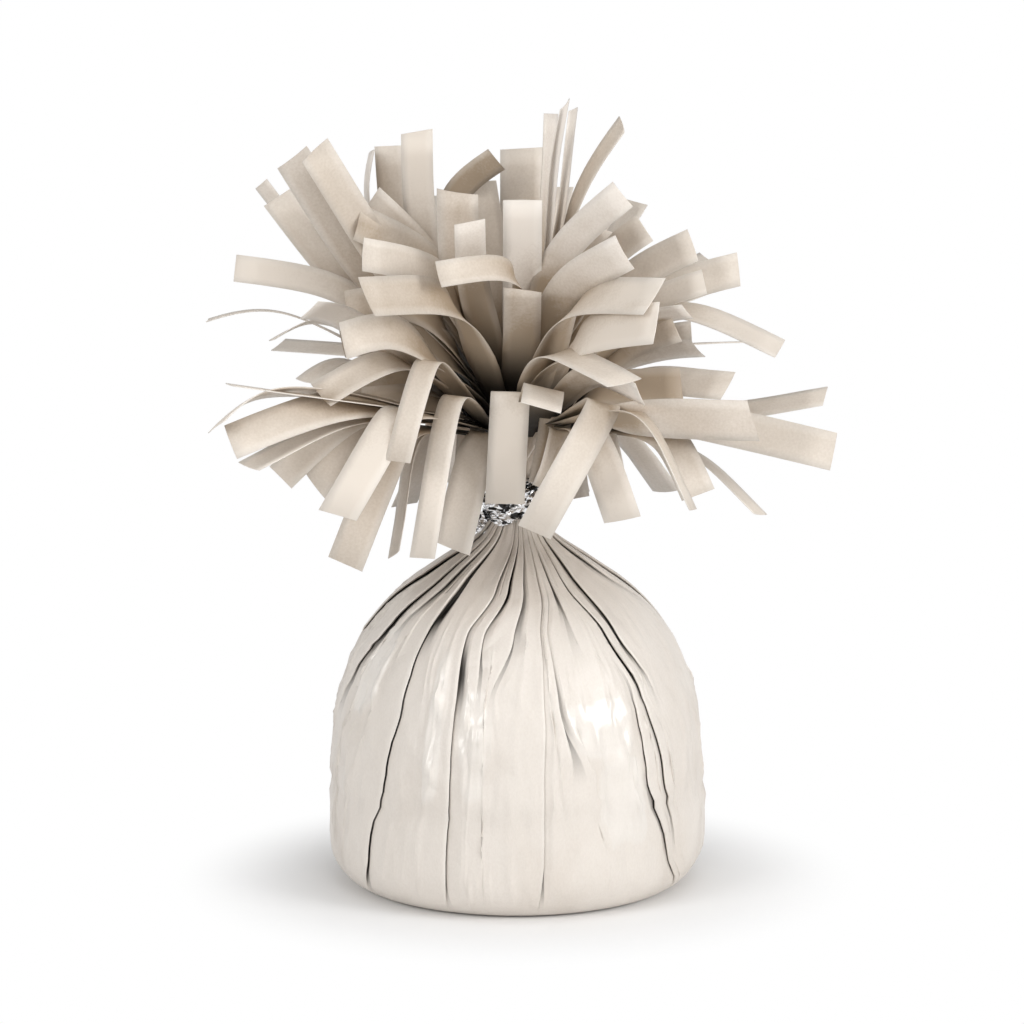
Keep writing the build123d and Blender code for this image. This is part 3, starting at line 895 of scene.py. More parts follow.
def foil_material(colour):
    """Crumpled bright foil: mirror facets, with dark streaks painted in where facets would mirror dark
    things.
    """
    material, tree, shader = new_material("foil_bright", Metallic=1.0)
    place = object_place(tree, FOIL_STRETCH)
    inputs = (("Vector", place), ("Scale", STREAK_SCALE), ("Detail", 3.0), ("Distortion", 0.6))
    streaks = add_node(tree, "ShaderNodeTexNoise", inputs)
    # Painted reflection: dark streaks in the base colour stand in for facets that mirror dark things
    dark_reflection = ramp_value(tree, streaks.outputs["Fac"], *FOIL_STREAKS)
    shaded = tuple(FOIL_PAINTED_REFLECTION * value for value in colour)
    tree.links.new(mix_colour(tree, dark_reflection, (*colour, 1), (*shaded, 1)), shader.inputs["Base Color"])
    creases = add_node(tree, "ShaderNodeGroup", node_tree=film_crinkle_group())
    tree.links.new(place, creases.inputs["Vector"])
    creases.inputs["Scale"].default_value = FOIL_CREASES
    ridges = math_node(tree, "MULTIPLY", creases.outputs["Ridge"], FOIL_RIDGE)
    tree.links.new(math_node(tree, "ADD", ridges, FOIL_ROUGHNESS), shader.inputs["Roughness"])
    inputs = (("Height", creases.outputs["Height"]), ("Strength", 1.0), ("Distance", FOIL_BUMP))
    lumps = add_node(tree, "ShaderNodeBump", inputs)
    tree.links.new(lumps.outputs["Normal"], shader.inputs["Normal"])
    return material


def grained_material(name, colour, *, spread, scale, roughness, bump, metallic=0.0):
    """Plain grained finish for what lies inside: moulded plastic, sand or drawn wire."""
    material, tree, shader = new_material(name, Metallic=metallic)
    tone = add_node(tree, "ShaderNodeGroup", node_tree=film_tone_group())
    tree.links.new(object_place(tree, (scale, scale, scale)), tone.inputs["Vector"])
    tone.inputs["Pale"].default_value = (*(min(1.0, value * (1 + spread)) for value in colour), 1)
    tone.inputs["Deep"].default_value = (*(value * (1 - spread) for value in colour), 1)
    tone.inputs["Shade"].default_value = 0.5
    tone.inputs["Mottle"].default_value = 1.0
    tone.inputs["Grain"].default_value = 1.0
    tree.links.new(tone.outputs["Color"], shader.inputs["Base Color"])
    height = tone.outputs["Height"]
    rough = math_node(tree, "MULTIPLY", height, GRAIN_SPREAD)
    rough = math_node(tree, "ADD", rough, roughness - GRAIN_MEAN)
    tree.links.new(rough, shader.inputs["Roughness"])
    lumps = add_node(tree, "ShaderNodeBump", (("Height", height), ("Strength", 0.6), ("Distance", bump)))
    tree.links.new(lumps.outputs["Normal"], shader.inputs["Normal"])
    return material


def arc_points(arc):
    """Points of one outline arc, its first end left out."""
    (centre_x, centre_z), radius, first, last, steps = arc
    points = []
    for step in range(1, steps + 1):
        turn = math.radians(first + (last - first) * step / steps)
        points.append((centre_x + radius * math.cos(turn), centre_z + radius * math.sin(turn)))
    return points


def body_outline():
    """Half outline of the wrapped body in millimetres, from under the foot up into the tie."""
    foot_start = (FOOT_ARC[0][0], FOOT_ARC[0][1] - FOOT_ARC[1])
    side_end = ((BODY_RADIUS / MM, SIDE_ARC[0][1]),)
    points = [*UNDERSIDE, foot_start, *arc_points(FOOT_ARC), *SIDE, *side_end]
    return [*points, *arc_points(SIDE_ARC), *arc_points(SHOULDER_ARC), *THROAT]


def spin_outline(bm, outline, columns):
    """Spin a half outline in millimetres into a closed skin, and return its vertices ring by ring."""
    verts = [bm.verts.new((0, -radius * MM, height * MM)) for radius, height in outline]
    edges = [bm.edges.new(pair) for pair in zip(verts[:-1], verts[1:])]
    bmesh.ops.spin(
        bm,
        geom=verts + edges,
        cent=(0, 0, 0),
        axis=(0, 0, 1),
        angle=math.tau,
        steps=columns,
        use_merge=True,
    )
    rings = {}
    for vert in bm.verts:
        turn = math.atan2(vert.co.x, -vert.co.y) % math.tau
        column = round(turn / math.tau * columns) % columns
        rings.setdefault(round(vert.co.z, 7), []).append((column, vert))
    return [sorted(rings[key], key=lambda item: item[0]) for key in sorted(rings)]


def pleat_angle(row, height):
    """Angle of a pleat at a height, in degrees."""
    for low, high, start, end in zip(PLEAT_HEIGHTS, PLEAT_HEIGHTS[1:], row, row[1:]):
        if height <= high:
            return start + (end - start) * smooth_step(low, high, height)
    return row[-1]


def wrap_columns():
    """One entry for each column of the wrap: a place in a pleat's fold or on the panel after it."""
    columns = []
    for index, (row, side, *_) in enumerate(PLEATS):
        fold = FOLD
        if side < 0:
            fold = [(-at, depth, -flat, *rest) for at, depth, flat, *rest in reversed(FOLD)]
        columns.extend(("fold", index, place) for place in fold)
        ahead = PLEATS[(index + 1) % len(PLEATS)][0][2] + (360 if index + 1 == len(PLEATS) else 0)
        steps = max(PANEL_COLUMNS, round((ahead - row[2]) / PANEL_STEP))
        columns.extend(("panel", index, step / (steps + 1)) for step in range(1, steps + 1))
    return columns


def lay_ring(columns, radius, height, lap, step):
    """Where the fold columns of the wrap lie at one height, with nothing yet for the panel columns.

    Each has its angle, its depth, how much shade is painted on it, how far it gapes, and the angle of the
    film it lies on.
    """
    angles = [pleat_angle(row[0], height) for row in PLEATS]
    count = len(angles)
    laps = []
    for index, (_, _, share, opens, closes, wedge, gaping) in enumerate(PLEATS):
        before = (angles[index] - angles[index - 1]) % 360
        after = (angles[(index + 1) % count] - angles[index]) % 360
        room = min(before, after) * PLEAT_ROOM
        opened = smooth_step(opens - PLEAT_EASE, opens + PLEAT_EASE, height)
        opened *= 1 - smooth_step(closes - PLEAT_EASE, closes + PLEAT_EASE, height)
        wide = min(math.degrees(lap * share / max(radius, MM)), room)
        laps.append((wide, opened, share, gaping * math.exp(-(((height - wedge) / WEDGE_HEIGHT) ** 2))))
    placed = []
    for kind, index, place in columns:
        if kind == "panel":
            placed.append(None)
            continue
        wide, opened, share, agape = laps[index]
        at, depth, flat, dark, gape = place
        offset = flat + (at - flat) * opened
        sunk = depth * step * opened * (PLEAT_DEPTH + (1 - PLEAT_DEPTH) * share)
        sunk *= 1 + GAPE_DEPTH * agape
        beyond = min(0.0, offset - FOLD_LAYERS[0]) + max(0.0, offset - FOLD_LAYERS[1])
        lies = angles[index] + wide * beyond
        gaping = min(1.0, gape * agape) * opened
        placed.append((angles[index] + offset * wide, sunk, dark * opened, gaping, lies))
    return placed


def fill_panels(placed):
    """Put the panel columns evenly between the folds on either side."""
    count = len(placed)
    anchors = [index for index, place in enumerate(placed) if place]
    result = list(placed)
    for here, there in zip(anchors, anchors[1:] + [anchors[0] + count]):
        span = there - here
        first, first_depth, *_, first_lies = placed[here]
        last, last_depth, *_, last_lies = placed[there % count]
        lapped = 360 if there >= count else 0
        for step in range(1, span):
            share = step / span
            ease = max(0.0, 1 - share * span / PANEL_EASE), max(0.0, 1 - (1 - share) * span / PANEL_EASE)
            depth = first_depth * ease[0] ** 2 + last_depth * ease[1] ** 2
            angle = first + (last + lapped - first) * share
            lies = first_lies + (last_lies + lapped - first_lies) * share
            result[(here + step) % count] = (angle, depth, 0.0, 0.0, lies)
    return result


def unrolled(turn, height, scale, layer, lean=0.0):
    """Place in a noise that follows the wrap's angle in radians and its height in millimetres."""
    return Vector((turn * scale[0] + height * lean, height * scale[1], layer))


def on_surface(spot, scale, shift):
    """Place in a noise that follows a spot on the surface."""
    return spot * scale + Vector(shift)


def crease(place, width):
    """Height from 0 to 1 of thin ridges along the lines where a slow noise changes sign."""
    return max(0.0, 1 - abs(noise.noise(place)) / width)


def gloss_at(angle, height):
    """How glossy the wrap is at an angle in degrees and a height in millimetres, and how far drawn in."""
    most, drawn = 0.0, 0.0
    for middle, level, wide, tall in GLOSS_PATCHES:
        aside = (angle - middle + 180) % 360 - 180
        share = math.exp(-((aside / wide) ** 4) - ((height - level) / tall) ** 4)
        if share > most:
            most = share
            inside = math.radians(min(abs(aside), wide))
            drawn = share * (1 - math.cos(math.radians(wide)) / math.cos(inside))
    return most, drawn


def slit_shadow(dark, gape, turn, height):
    """How much shade is painted on the wrap in the slit of a pleat, or where the pleat gapes."""
    broken = 1.0 + SLIT_BREAK * noise.noise(unrolled(turn, height, *SLIT_NOISE))
    closing = 1 - SLIT_CLOSING * smooth_step(*SLIT_END, height)
    slit = dark * min(1.0, max(SLIT_LEAST, broken)) * closing * smooth_step(*SLIT_START, height)
    return max(slit, gape * (1 - smooth_step(*GAPE_END, height))) if gape > 0 else slit


def wrap_wrinkles(spot, turn, height, gathered, glossy):
    """Wrinkles of the wrap as a share of their full height, and how much shade is painted into the
    film's tone.
    """
    sway = noise.noise(on_surface(spot, *BROAD_SWAY)) * BROAD_SHARE
    sway += noise.noise(on_surface(spot, *FINE_SWAY)) * FINE_SHARE
    pull = noise.noise(unrolled(turn, height, *PULL_NOISE)) * gathered
    rim = smooth_step(RIM_HEIGHT + RIM_ABOVE, RIM_HEIGHT - RIM_BELOW, height)
    rim *= RIM_SHARE + noise.noise(on_surface(spot, *RIM_SWAY))
    rim *= smooth_step(RIM_HEIGHT - RIM_FADE, RIM_HEIGHT, height)
    lines = crease(unrolled(turn, height, *LONG_CREASES), LONG_WIDTH)
    lines += crease(unrolled(turn, height, *SLANT_CREASES), SLANT_WIDTH) * SLANT_SHARE
    crumple = abs(noise.noise(on_surface(spot, *CRUMPLE))) * CRUMPLE_SHARE * glossy
    crumple += crease(on_surface(spot, *CRUMPLE_CREASES), CRUMPLE_WIDTH) * glossy
    ripple = sway * (1 - SWAY_HELD * gathered) + pull + rim + crumple
    ripple += LINE_SHARE * lines * (1 - gathered)
    # Painted shade: the film's tone deepens where it is drawn in, sways in and is pulled in
    deeper = GATHERED_PAINTED_SHADE * gathered + SWAY_PAINTED_SHADE * max(0.0, -sway) + PULL_PAINTED_SHADE * max(0.0, -pull)
    return ripple, deeper


class BALLOONWEIGHT_OT_wrap(bpy.types.Operator):
    """Film wrapped round the ballast, lapped in pleats and drawn up into the tie"""

    bl_idname = "balloon_weight.wrap"
    bl_label = "Film wrap"

    def execute(self, context):
        settings = context.scene.balloon_weight_wrap
        columns = wrap_columns()
        bm = bmesh.new()
        shadow = bm.verts.layers.float.new("shadow")
        gloss = bm.verts.layers.float.new("gloss")
        tone = bm.verts.layers.float.new("tone")
        for ring in spin_outline(bm, body_outline(), len(columns)):
            radius = math.hypot(ring[0][1].co.x, ring[0][1].co.y)
            height = ring[0][1].co.z / MM
            low = smooth_step(*FOOT_RISE, height)
            under = 1 - smooth_step(*UNDERSIDE_END, height)
            gathered = smooth_step(*DRAWN_TOGETHER, height)
            step = settings.step * (STEP_AT_FOOT + (1 - STEP_AT_FOOT) * low)
            step *= 1 + STEP_ADDED * gathered * smooth_step(*STEP_RADII, radius / MM)
            step = min(step, radius * FOLD_LIMIT)
            placed = fill_panels(lay_ring(columns, radius, height, settings.lap, step))
            for (_, vert), (angle, depth, dark, gape, lies) in zip(ring, placed):
                turn = math.radians(lies)
                vert[shadow] = slit_shadow(dark, gape, turn, height)
                vert[gloss], drawn = gloss_at(lies, height)
                spot = around(radius, turn, vert.co.z)
                # Painted shade where the wrap is drawn in, sways in and is pulled in goes into its tone
                ripple, vert[tone] = wrap_wrinkles(spot, turn, height, gathered, vert[gloss])
                ripple *= settings.wrinkle * (1 - under) * low
                inset = settings.wrinkle * WRINKLE_INSET + PATCH_INSET * radius * drawn
                out = max(radius + depth + ripple - inset, LEAST_RADIUS * MM)
                vert.co = around(out, math.radians(angle), vert.co.z)
                vert.co.z = max(vert.co.z + depth * STEP_SLIDE * gathered, settings.film)
        bmesh.ops.recalc_face_normals(bm, faces=bm.faces)
        shade_folds(bm, WRAP_EDGE)
        material = film_material(
            "wrap_pearl_film",
            settings.pale,
            settings.deep,
            shade=0.08,
            roughness=0.42,
            coat=0.75,
            coat_roughness=0.16,
            crinkle=70.0,
            bump=0.0003,
            stretch=(1.4, 1.4, 0.7),
        )
        piece = place_piece("film_wrap", bm, [material], settings.film)
        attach(piece, "base")
        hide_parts("outer_wrap", "neck_gather")
        return {"FINISHED"}


def sheet_root(sheet):
    """Radius and height in millimetres where a sheet of the fringe is slit into strips."""
    share = (sheet - 1) / (len(BACK_STRIPS) - 1)
    radius = ROOT_OUTER + (ROOT_INNER - ROOT_OUTER) * share
    return radius, (PIVOT.z + CROWN) / MM - CROWN_SLOPE * radius


def row_matrix(across, out, place):
    """Matrix that lays a row of a grid along a direction at a place, with its height along another."""
    return Matrix(
        (
            (across.x, 0, out.x, place.x),
            (across.y, 0, out.y, place.y),
            (across.z, 0, out.z, place.z),
            (0, 0, 0, 1),
        )
    )


def strip_path(root, elbow, tip, pull):
    """Points along a strip that rises to its elbow and bends over to its tip."""
    points = []
    for step in range(STRIP_ROWS + 1):
        share = step / STRIP_ROWS
        drawn = 2 * (ELBOW_PULL[0] + ELBOW_PULL[1] * pull)
        weights = (1 - share) ** 2, drawn * share * (1 - share), share**2
        points.append((root * weights[0] + elbow * weights[1] + tip * weights[2]) / sum(weights))
    return points


def lay_strip(bm, layers, root, elbow, tip, width, face, pull, shade, settings, scatter):
    """Lay one strip from its root over its elbow to its tip, and return its length."""
    points = strip_path(root, elbow, tip, pull)
    lengths = [0.0]
    for start, end in zip(points, points[1:]):
        lengths.append(lengths[-1] + (end - start).length)
    turn = math.atan2(root.x, -root.y)
    side = Vector((math.cos(turn), math.sin(turn), 0))
    grid = bmesh.ops.create_grid(
        bm, x_segments=STRIP_COLUMNS, y_segments=STRIP_ROWS, size=0.5, calc_uvs=True
    )
    tone = scatter.uniform(*STRIP_TONES) + shade
    cup = settings.cup * scatter.uniform(*STRIP_CUPS)
    phase = scatter.uniform(0, math.tau)
    waves = scatter.uniform(*STRIP_WAVES)
    slant = scatter.uniform(*TIP_SLANTS)
    shaded = min((elbow - root).length, SHADED_LENGTH * MM)
    deep = min(DEEP_SHARE * (elbow - root).length, DEEP_LENGTH * MM)
    last = (points[-1] - points[-2]).normalized()
    end_side = last.cross(face).normalized()
    if end_side.dot(side) < 0:
        end_side.negate()
    for row, point in enumerate(points):
        ahead = points[min(row + 1, STRIP_ROWS)] - points[max(row - 1, 0)]
        ahead.normalize()
        along = lengths[row] / lengths[-1]
        across = side.lerp(end_side, smooth_step(*STRIP_TURN, along))
        across = (across - ahead * across.dot(ahead)).normalized()
        normal = across.cross(ahead)
        wide = width * (ROOT_WIDTH + (1 - ROOT_WIDTH) * smooth_step(*STRIP_WIDENING, along))
        wave = math.sin(waves * math.tau * along + phase) * settings.wave * along
        cross = across * wide + (ahead * slant * wide if row == STRIP_ROWS else Vector())
        place = point + normal * wave
        verts = grid["verts"][row * (STRIP_COLUMNS + 1) : (row + 1) * (STRIP_COLUMNS + 1)]
        for vert in verts:
            # Random tone, plus shade painted in towards the root
            vert[layers["tone"]] = tone + ROOT_PAINTED_SHADE * (1 - smooth_step(0.0, deep, lengths[row]))
            # Painted shadow at the root, and a painted highlight on the cut edges
            vert[layers["shadow"]] = 1 - smooth_step(SHADOW_CORE * shaded, shaded, lengths[row])
            if abs(vert.co.x) > EDGE_PLACE and vert[layers["shadow"]] < EDGE_SHADOW:
                vert[layers["shadow"]] -= EDGE_GLEAM
            vert.co.z = cup * (1 - 4 * vert.co.x**2)
        bmesh.ops.transform(bm, matrix=row_matrix(cross, normal * wide, place), verts=verts)
    return lengths[-1]


def back_strips(sheet, scatter):
    """Elbow, tip, width, face and bend of the strips at the back of a sheet."""
    lean, lengths = BACK_STRIPS[sheet - 1]
    share = (sheet - 1) / (len(BACK_STRIPS) - 1)
    radius, height = sheet_root(sheet)
    launch = math.radians(LAUNCH[0] + (LAUNCH[1] - LAUNCH[0]) * share)
    bend = BEND[0] + (BEND[1] - BEND[0]) * share
    rows = []
    for angle, length in lengths.items():
        turn = math.radians(angle)
        signed = angle if angle <= 180 else angle - 360
        final = math.radians(lean + LEAN_SCATTER * (2 * ((signed * GOLDEN_SHARE) % 1.0) - 1))
        reach = bend / (launch - final) * math.tan((launch - final) / 2)
        elbow = around(radius, turn, height) + around(math.cos(launch), turn, math.sin(launch)) * reach
        tip = elbow + around(math.cos(final), turn, math.sin(final)) * (reach + length - bend)
        face = around(-math.sin(final), turn, math.cos(final))
        face = Matrix.Rotation(scatter.gauss(0, BACK_TWIST), 3, tip - elbow) @ face
        rows.append((elbow, tip, scatter.uniform(*BACK_WIDTHS), face, BACK_BEND))
    return rows


def shade_sheltered(sheets):
    """Paint shade into the tone of the strips wherever other strips lie outside them and hide the light."""
    verts, faces = [], []
    for bm in sheets:
        bm.verts.index_update()
        first = len(verts)
        verts.extend(vert.co.copy() for vert in bm.verts)
        faces.extend([first + vert.index for vert in face.verts] for face in bm.faces)
    tree = BVHTree.FromPolygons(verts, faces)
    rays = []
    for ray in range(SHELTER_RAYS):
        lean = math.radians(SHELTER_SPREAD) * math.sqrt((ray + 0.5) / SHELTER_RAYS)
        rays.append(around(math.sin(lean), GOLDEN_TURN * ray, math.cos(lean)))
    heart = PIVOT + UP * CROWN / 2
    for bm in sheets:
        tone = bm.verts.layers.float["tone"]
        for vert in bm.verts:
            outwards = UP.rotation_difference(vert.co - heart)
            hidden = 0.0
            for ray in rays:
                way = outwards @ ray
                start = vert.co + way * SHELTER_NEAR * MM
                *_, distance = tree.ray_cast(start, way, SHELTER_REACH * MM)
                if distance is not None:
                    hidden += 1 - SHELTER_FADE * distance / (SHELTER_REACH * MM)
            # Painted shade: the share of hidden rays deepens the tone
            vert[tone] += SHELTER_PAINTED_SHADE * hidden / SHELTER_RAYS


class BALLOONWEIGHT_OT_fringe(bpy.types.Operator):
    """Sheets of film slit into strips that spring from the neck and bend over"""

    bl_idname = "balloon_weight.fringe"
    bl_label = "Fringe"

    def execute(self, context):
        settings = context.scene.balloon_weight_fringe
        scatter = random.Random(settings.seed)
        front = film_material(
            "fringe_pearl_film",
            settings.pale,
            settings.deep,
            roughness=0.5,
            coat_roughness=0.3,
            crinkle=120.0,
            bump=0.00006,
        )
        # The back of each strip is a darker, warmer copy of the front film: shade painted on the undersides
        back = film_material(
            "fringe_film_back",
            tuple(value * tint for value, tint in zip(settings.pale, BACK_PAINTED_SHADE_TINT)),
            settings.deep,
            roughness=0.52,
            coat_roughness=0.35,
            crinkle=120.0,
            bump=0.00006,
        )
        sheets, cuts = [], []
        for sheet in sorted(STRIPS):
            radius, height = sheet_root(sheet)
            bm = bmesh.new()
            bm.loops.layers.uv.new("UVMap")
            layers = {name: bm.verts.layers.float.new(name) for name in ("tone", "shadow")}
            rows = [*STRIPS[sheet], *back_strips(sheet, scatter)]
            widths, lengths = [], []
            # A row's last value, where given, is shade painted into the strip's tone, or below zero painted
            # light
            for elbow, tip, width, face, pull, *shade in rows:
                turn = math.atan2(elbow[0], -elbow[1])
                root = around(radius, turn, height - ROOT_SINK)
                length = lay_strip(
                    bm,
                    layers,
                    root * MM,
                    Vector(elbow) * MM,
                    Vector(tip) * MM,
                    width * MM,
                    Vector(face).normalized(),
                    pull,
                    sum(shade),
                    settings,
                    scatter,
                )
                widths.append(width * MM)
                lengths.append(length)
            sheets.append(bm)
            cuts.append((widths, lengths))
        shade_sheltered(sheets)
        for sheet, bm, (widths, lengths) in zip(sorted(STRIPS), sheets, cuts):
            shade_folds(bm, STRIP_EDGE)
            piece = place_piece(
                f"fringe_strips_{sheet:02d}", bm, [front, back], settings.film, offset=0.0, back=1
            )
            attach(piece, "plume")
            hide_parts(f"fringe_sheet_{sheet:02d}")
        return {"FINISHED"}


class BALLOONWEIGHT_OT_gather(bpy.types.Operator):
    """Bunched film above the tie, that opens out into the fringe"""

    bl_idname = "balloon_weight.gather"
    bl_label = "Gathered film"

    def execute(self, context):
        settings = context.scene.balloon_weight_fringe
        bm = bmesh.new()
        area = 0.0
        for layer, (mouth, top) in enumerate(GATHER_LAYERS):
            waist = WAIST[0] + WAIST[1] * layer
            bottom = PIVOT.z / MM + BOTTOM[0] + BOTTOM[1] * layer
            outline = []
            for ring in range(GATHER_RINGS + 1):
                share = ring / GATHER_RINGS
                flare = smooth_step(*GATHER_FLARE, share)
                outline.append((waist + (mouth - waist) * flare, bottom + (top - bottom) * share))
            part = bmesh.new()
            for ring in spin_outline(part, outline, GATHER_COLUMNS):
                for index, vert in ring:
                    turn = math.tau * index / GATHER_COLUMNS
                    radius = math.hypot(vert.co.x, vert.co.y)
                    opened = smooth_step(bottom, top, vert.co.z / MM)
                    shift = FOLD_SHIFT * noise.noise(Vector((turn * FOLD_SCALE, layer, FOLD_PLANE)))
                    folds = math.sin(turn * BROAD_FOLDS + shift)
                    folds += FINE_FOLD_SHARE * math.sin(turn * FINE_FOLDS + layer)
                    deep = min(FOLD_DEPTH + MOUTH_DEPTH * opened, radius * FOLD_LIMIT)
                    spot = Vector((turn * RAGGED_SCALE, layer * RAGGED_STEP, RAGGED_PLANE))
                    height = vert.co.z + noise.noise(spot) * RAGGED_HEIGHT * opened
                    uneven = turn + UNEVEN * math.sin(turn * UNEVEN_FOLDS)
                    vert.co = around(radius + folds * deep, uneven, height)
            bmesh.ops.recalc_face_normals(part, faces=part.faces)
            area += sum(face.calc_area() for face in part.faces)
            made = bpy.data.meshes.new("gather_layer")
            part.to_mesh(made)
            part.free()
            bm.from_mesh(made)
            bpy.data.meshes.remove(made)
        shade_folds(bm, GATHER_EDGE)
        material = film_material(
            "gather_pearl_film",
            settings.pale,
            settings.deep,
            # Shade painted into the gathered film, which lies under the strips
            shade=0.4,
            roughness=0.45,
            coat_roughness=0.3,
            crinkle=160.0,
            bump=0.00008,
            stretch=(1.0, 1.0, 0.3),
        )
        piece = place_piece("gathered_film", bm, [material], settings.film)
        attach(piece, "plume")
        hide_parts("fringe_gather")
        return {"FINISHED"}


def tie_row(share, settings):
    """Matrix of a row of the foil at a share of its length, in the winding or in the twisted end."""
    flat = Vector((0, 0, settings.width))
    if share <= WOUND_SHARE:
        turned = share / WOUND_SHARE
        turn = -math.pi / 2 + math.tau * TIE_TURNS * (turned - 1)
        weave = WINDING_WEAVE * math.sin(turned * math.pi * WEAVE_HALVES)
        place = around(settings.radius + WINDING_GROWTH * turned, turn, weave)
        return row_matrix(flat, around(1.0, turn, 0.0), place)
    tail = (share - WOUND_SHARE) / (1 - WOUND_SHARE)
    start = settings.radius + WINDING_GROWTH
    place = Vector(
        (-start - TAIL_LENGTH * MM * tail, TAIL_END[0] * tail, TAIL_END[1] * tail - WINDING_WEAVE)
    )
    twist = math.radians(TAIL_TWIST) * tail
    out = Vector((0, -math.sin(twist), math.cos(twist)))
    across = Vector((0, math.cos(twist), math.sin(twist))) * settings.width * (1 - TAIL_NARROWING * tail)
    if tail < TAIL_START:
        across = flat.lerp(across, tail / TAIL_START)
    return row_matrix(across, out, place)


class BALLOONWEIGHT_OT_tie(bpy.types.Operator):
    """Crumpled foil tape wound round the neck, with its twisted end on the left"""

    bl_idname = "balloon_weight.tie"
    bl_label = "Foil tie"

    def execute(self, context):
        settings = context.scene.balloon_weight_tie
        scatter = random.Random(FOIL_SEED)
        bm = bmesh.new()
        bm.loops.layers.uv.new("UVMap")
        lean = Matrix.Translation(PIVOT) @ Matrix.Rotation(-settings.tilt, 4, "Y")
        grid = bmesh.ops.create_grid(
            bm, x_segments=TIE_COLUMNS, y_segments=TIE_ROWS, size=0.5, calc_uvs=True
        )
        for row in range(TIE_ROWS + 1):
            share = row / TIE_ROWS
            verts = grid["verts"][row * (TIE_COLUMNS + 1) : (row + 1) * (TIE_COLUMNS + 1)]
            for vert in verts:
                spot = Vector((vert.co.x * FOIL_SCALE[0], share * FOIL_SCALE[1], 1.0))
                raised = noise.noise(spot) * FOIL_NOISE + scatter.uniform(-FOIL_SCATTER, FOIL_SCATTER)
                vert.co.z = raised * settings.crumple
                vert.co.x += scatter.uniform(-FOIL_SHEAR, FOIL_SHEAR)
            bmesh.ops.transform(bm, matrix=lean @ tie_row(share, settings), verts=verts)
        for face in bm.faces:
            face.smooth = False
        piece = place_piece("foil_tie", bm, [foil_material(settings.colour)], FOIL_FILM, offset=0.0)
        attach(piece, "tie")
        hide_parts("tie_foil", "tie_wire")
        return {"FINISHED"}


class BALLOONWEIGHT_OT_ballast(bpy.types.Operator):
    """Finishes of the tub, lid and sand inside the wrap and of the tie's wire"""

    bl_idname = "balloon_weight.ballast"
    bl_label = "Ballast finishes"

    def execute(self, context):
        settings = context.scene.balloon_weight_ballast
        plastic = grained_material(
            "tub_moulded_plastic", settings.tub, spread=0.06, scale=1.0, roughness=0.5, bump=0.00004
        )
        sand = grained_material(
            "dry_sand", settings.sand, spread=0.45, scale=0.8, roughness=0.85, bump=0.0004
        )
        wire = grained_material(
            "drawn_wire",
            settings.wire,
            spread=0.12,
            scale=2.0,
            roughness=0.35,
            bump=0.00002,
            metallic=1.0,
        )
        finishes = {"ballast_tub": plastic, "tub_lid": plastic, "sand_fill": sand, "tie_wire": wire}
        for name, material in finishes.items():
            node = frame["nodes"][name]
            node.data.materials.clear()
            node.data.materials.append(material)
        return {"FINISHED"}


def aim(place, target):
    """Turn a lamp or camera at a place towards a target."""
    return Matrix.Translation(place) @ (target - place).to_track_quat("-Z", "Y").to_matrix().to_4x4()


def add_lamp(name, power, size, turn, rise):
    """Square soft light at an angle round from the front and a rise above level, in degrees."""
    lamp = bpy.data.lights.new(name, "AREA")
    lamp.energy = power
    lamp.size = size
    holder = bpy.data.objects.new(name, lamp)
    bpy.context.scene.collection.objects.link(holder)
    flat = LAMP_DISTANCE * math.cos(math.radians(rise))
    level = LAMP_DISTANCE * math.sin(math.radians(rise))
    place = CAMERA_TARGET + around(flat, math.radians(turn), level)
    holder.matrix_world = aim(place, CAMERA_TARGET)


def seen_directly(tree):
    """1 for camera, glossy and transmission rays, and 0 for the light that falls on the object."""
    path = add_node(tree, "ShaderNodeLightPath")
    either = math_node(tree, "MAXIMUM", path.outputs["Is Camera Ray"], path.outputs["Is Glossy Ray"])
    return math_node(tree, "MAXIMUM", either, path.outputs["Is Transmission Ray"])


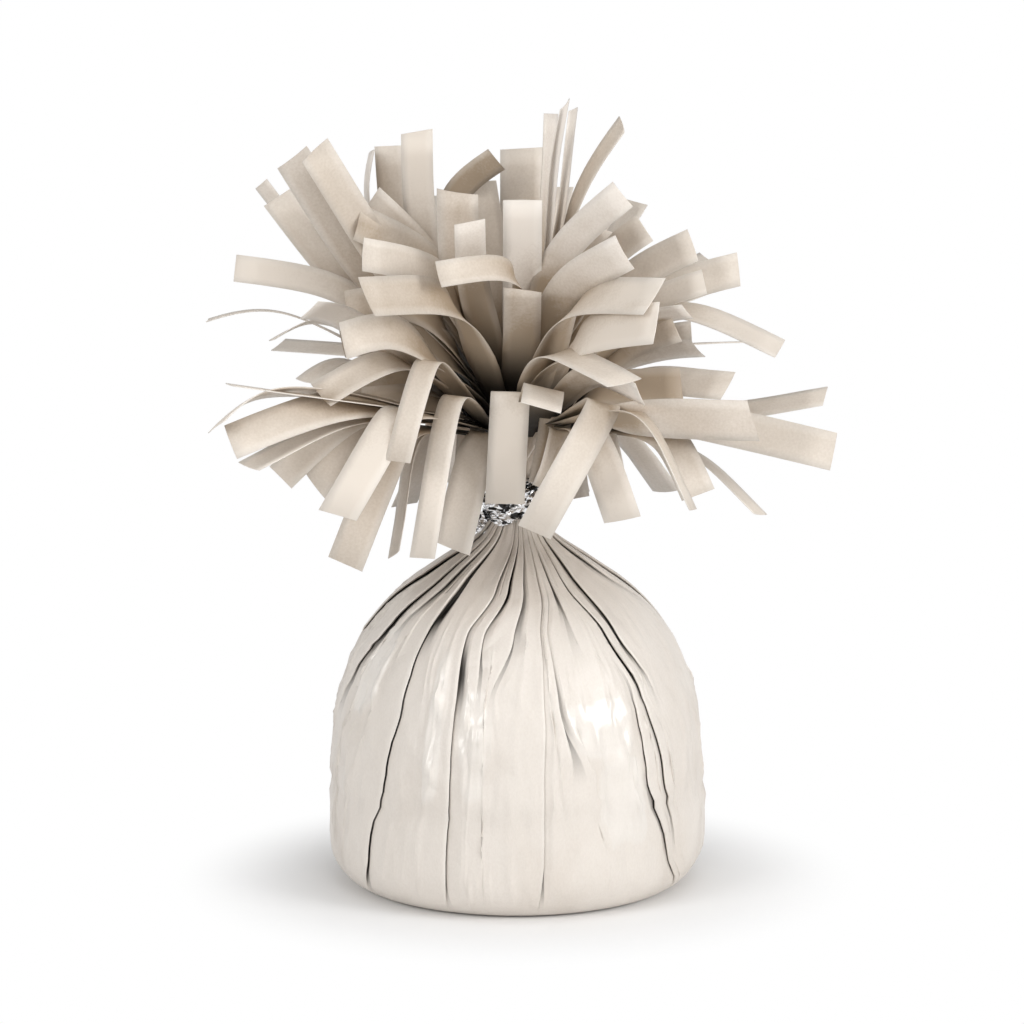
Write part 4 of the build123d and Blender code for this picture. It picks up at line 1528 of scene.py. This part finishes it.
class BALLOONWEIGHT_OT_stage(bpy.types.Operator):
    """Pale floor, soft lights and the camera"""

    bl_idname = "balloon_weight.stage"
    bl_label = "Stage"

    def execute(self, context):
        settings = context.scene.balloon_weight_stage
        scene = context.scene
        scene.view_settings.view_transform = "Standard"

        bm = bmesh.new()
        bmesh.ops.create_circle(bm, cap_ends=True, segments=FLOOR_SEGMENTS, radius=FLOOR_RADIUS)
        material, tree, shader = new_material("pale_floor", Roughness=0.9)
        shader.inputs["Base Color"].default_value = (*settings.floor, 1)
        away = add_node(tree, "ShaderNodeVectorMath", ((0, object_place(tree)),), operation="LENGTH")
        white = add_node(tree, "ShaderNodeEmission", (("Strength", 1.0),))
        far = ramp_value(tree, away.outputs["Value"], *FLOOR_FADE)
        share = math_node(tree, "MULTIPLY", seen_directly(tree), far)
        mixed = add_node(
            tree, "ShaderNodeMixShader", ((0, share), (1, shader.outputs[0]), (2, white.outputs[0]))
        )
        tree.links.new(mixed.outputs[0], tree.nodes["Material Output"].inputs["Surface"])
        floor = place_piece("pale_floor", bm, [material])

        world = bpy.data.worlds.new("studio")
        world.use_nodes = True
        scene.world = world
        tree = world.node_tree
        even = tree.nodes["Background"]
        even.inputs["Color"].default_value = (1.0, 1.0, 1.0, 1)
        even.inputs["Strength"].default_value = settings.ambient
        white = add_node(tree, "ShaderNodeBackground", (("Color", (1, 1, 1, 1)), ("Strength", 1.0)))
        share = seen_directly(tree)
        mixed = add_node(
            tree, "ShaderNodeMixShader", ((0, share), (1, even.outputs[0]), (2, white.outputs[0]))
        )
        tree.links.new(mixed.outputs[0], tree.nodes["World Output"].inputs["Surface"])

        for name, (size, turn, rise) in LAMPS.items():
            add_lamp(name, getattr(settings, name), size, turn, rise)

        camera = bpy.data.cameras.new("camera")
        camera.lens = settings.lens
        camera.sensor_width = SENSOR_WIDTH
        camera.clip_end = CAMERA_REACH
        holder = bpy.data.objects.new("camera", camera)
        scene.collection.objects.link(holder)
        flat = settings.distance * math.cos(settings.elevation)
        place = CAMERA_TARGET + Vector((0, -flat, settings.distance * math.sin(settings.elevation)))
        holder.matrix_world = aim(place, CAMERA_TARGET)
        scene.camera = holder
        return {"FINISHED"}


class BALLOONWEIGHT_PT_panel(bpy.types.Panel):
    """Pieces of the balloon weight"""

    bl_label = "Balloon Weight"
    bl_idname = "BALLOONWEIGHT_PT_panel"
    bl_space_type = "VIEW_3D"
    bl_region_type = "UI"
    bl_category = "Balloon Weight"

    def draw(self, context):
        for operator in OPERATORS:
            self.layout.operator(operator.bl_idname)
        for name in SETTINGS:
            box = self.layout.box()
            group = getattr(context.scene, name)
            for prop in group.bl_rna.properties:
                if prop.identifier not in ("rna_type", "name"):
                    box.prop(group, prop.identifier)


SETTINGS = {
    "balloon_weight_wrap": WrapSettings,
    "balloon_weight_fringe": FringeSettings,
    "balloon_weight_tie": TieSettings,
    "balloon_weight_ballast": BallastSettings,
    "balloon_weight_stage": StageSettings,
}
OPERATORS = (
    BALLOONWEIGHT_OT_wrap,
    BALLOONWEIGHT_OT_gather,
    BALLOONWEIGHT_OT_fringe,
    BALLOONWEIGHT_OT_tie,
    BALLOONWEIGHT_OT_ballast,
    BALLOONWEIGHT_OT_stage,
)


def register():
    for group in SETTINGS.values():
        bpy.utils.register_class(group)
    for operator in OPERATORS:
        bpy.utils.register_class(operator)
    bpy.utils.register_class(BALLOONWEIGHT_PT_panel)
    for name, group in SETTINGS.items():
        setattr(bpy.types.Scene, name, PointerProperty(type=group))


def unregister():
    for name in SETTINGS:
        delattr(bpy.types.Scene, name)
    bpy.utils.unregister_class(BALLOONWEIGHT_PT_panel)
    for operator in reversed(OPERATORS):
        bpy.utils.unregister_class(operator)
    for group in reversed(SETTINGS.values()):
        bpy.utils.unregister_class(group)


def main():
    register()
    bpy.ops.balloon_weight.wrap()
    bpy.ops.balloon_weight.gather()
    bpy.ops.balloon_weight.fringe()
    bpy.ops.balloon_weight.tie()
    bpy.ops.balloon_weight.ballast()
    bpy.ops.balloon_weight.stage()


if __name__ == "__main__":
    main()
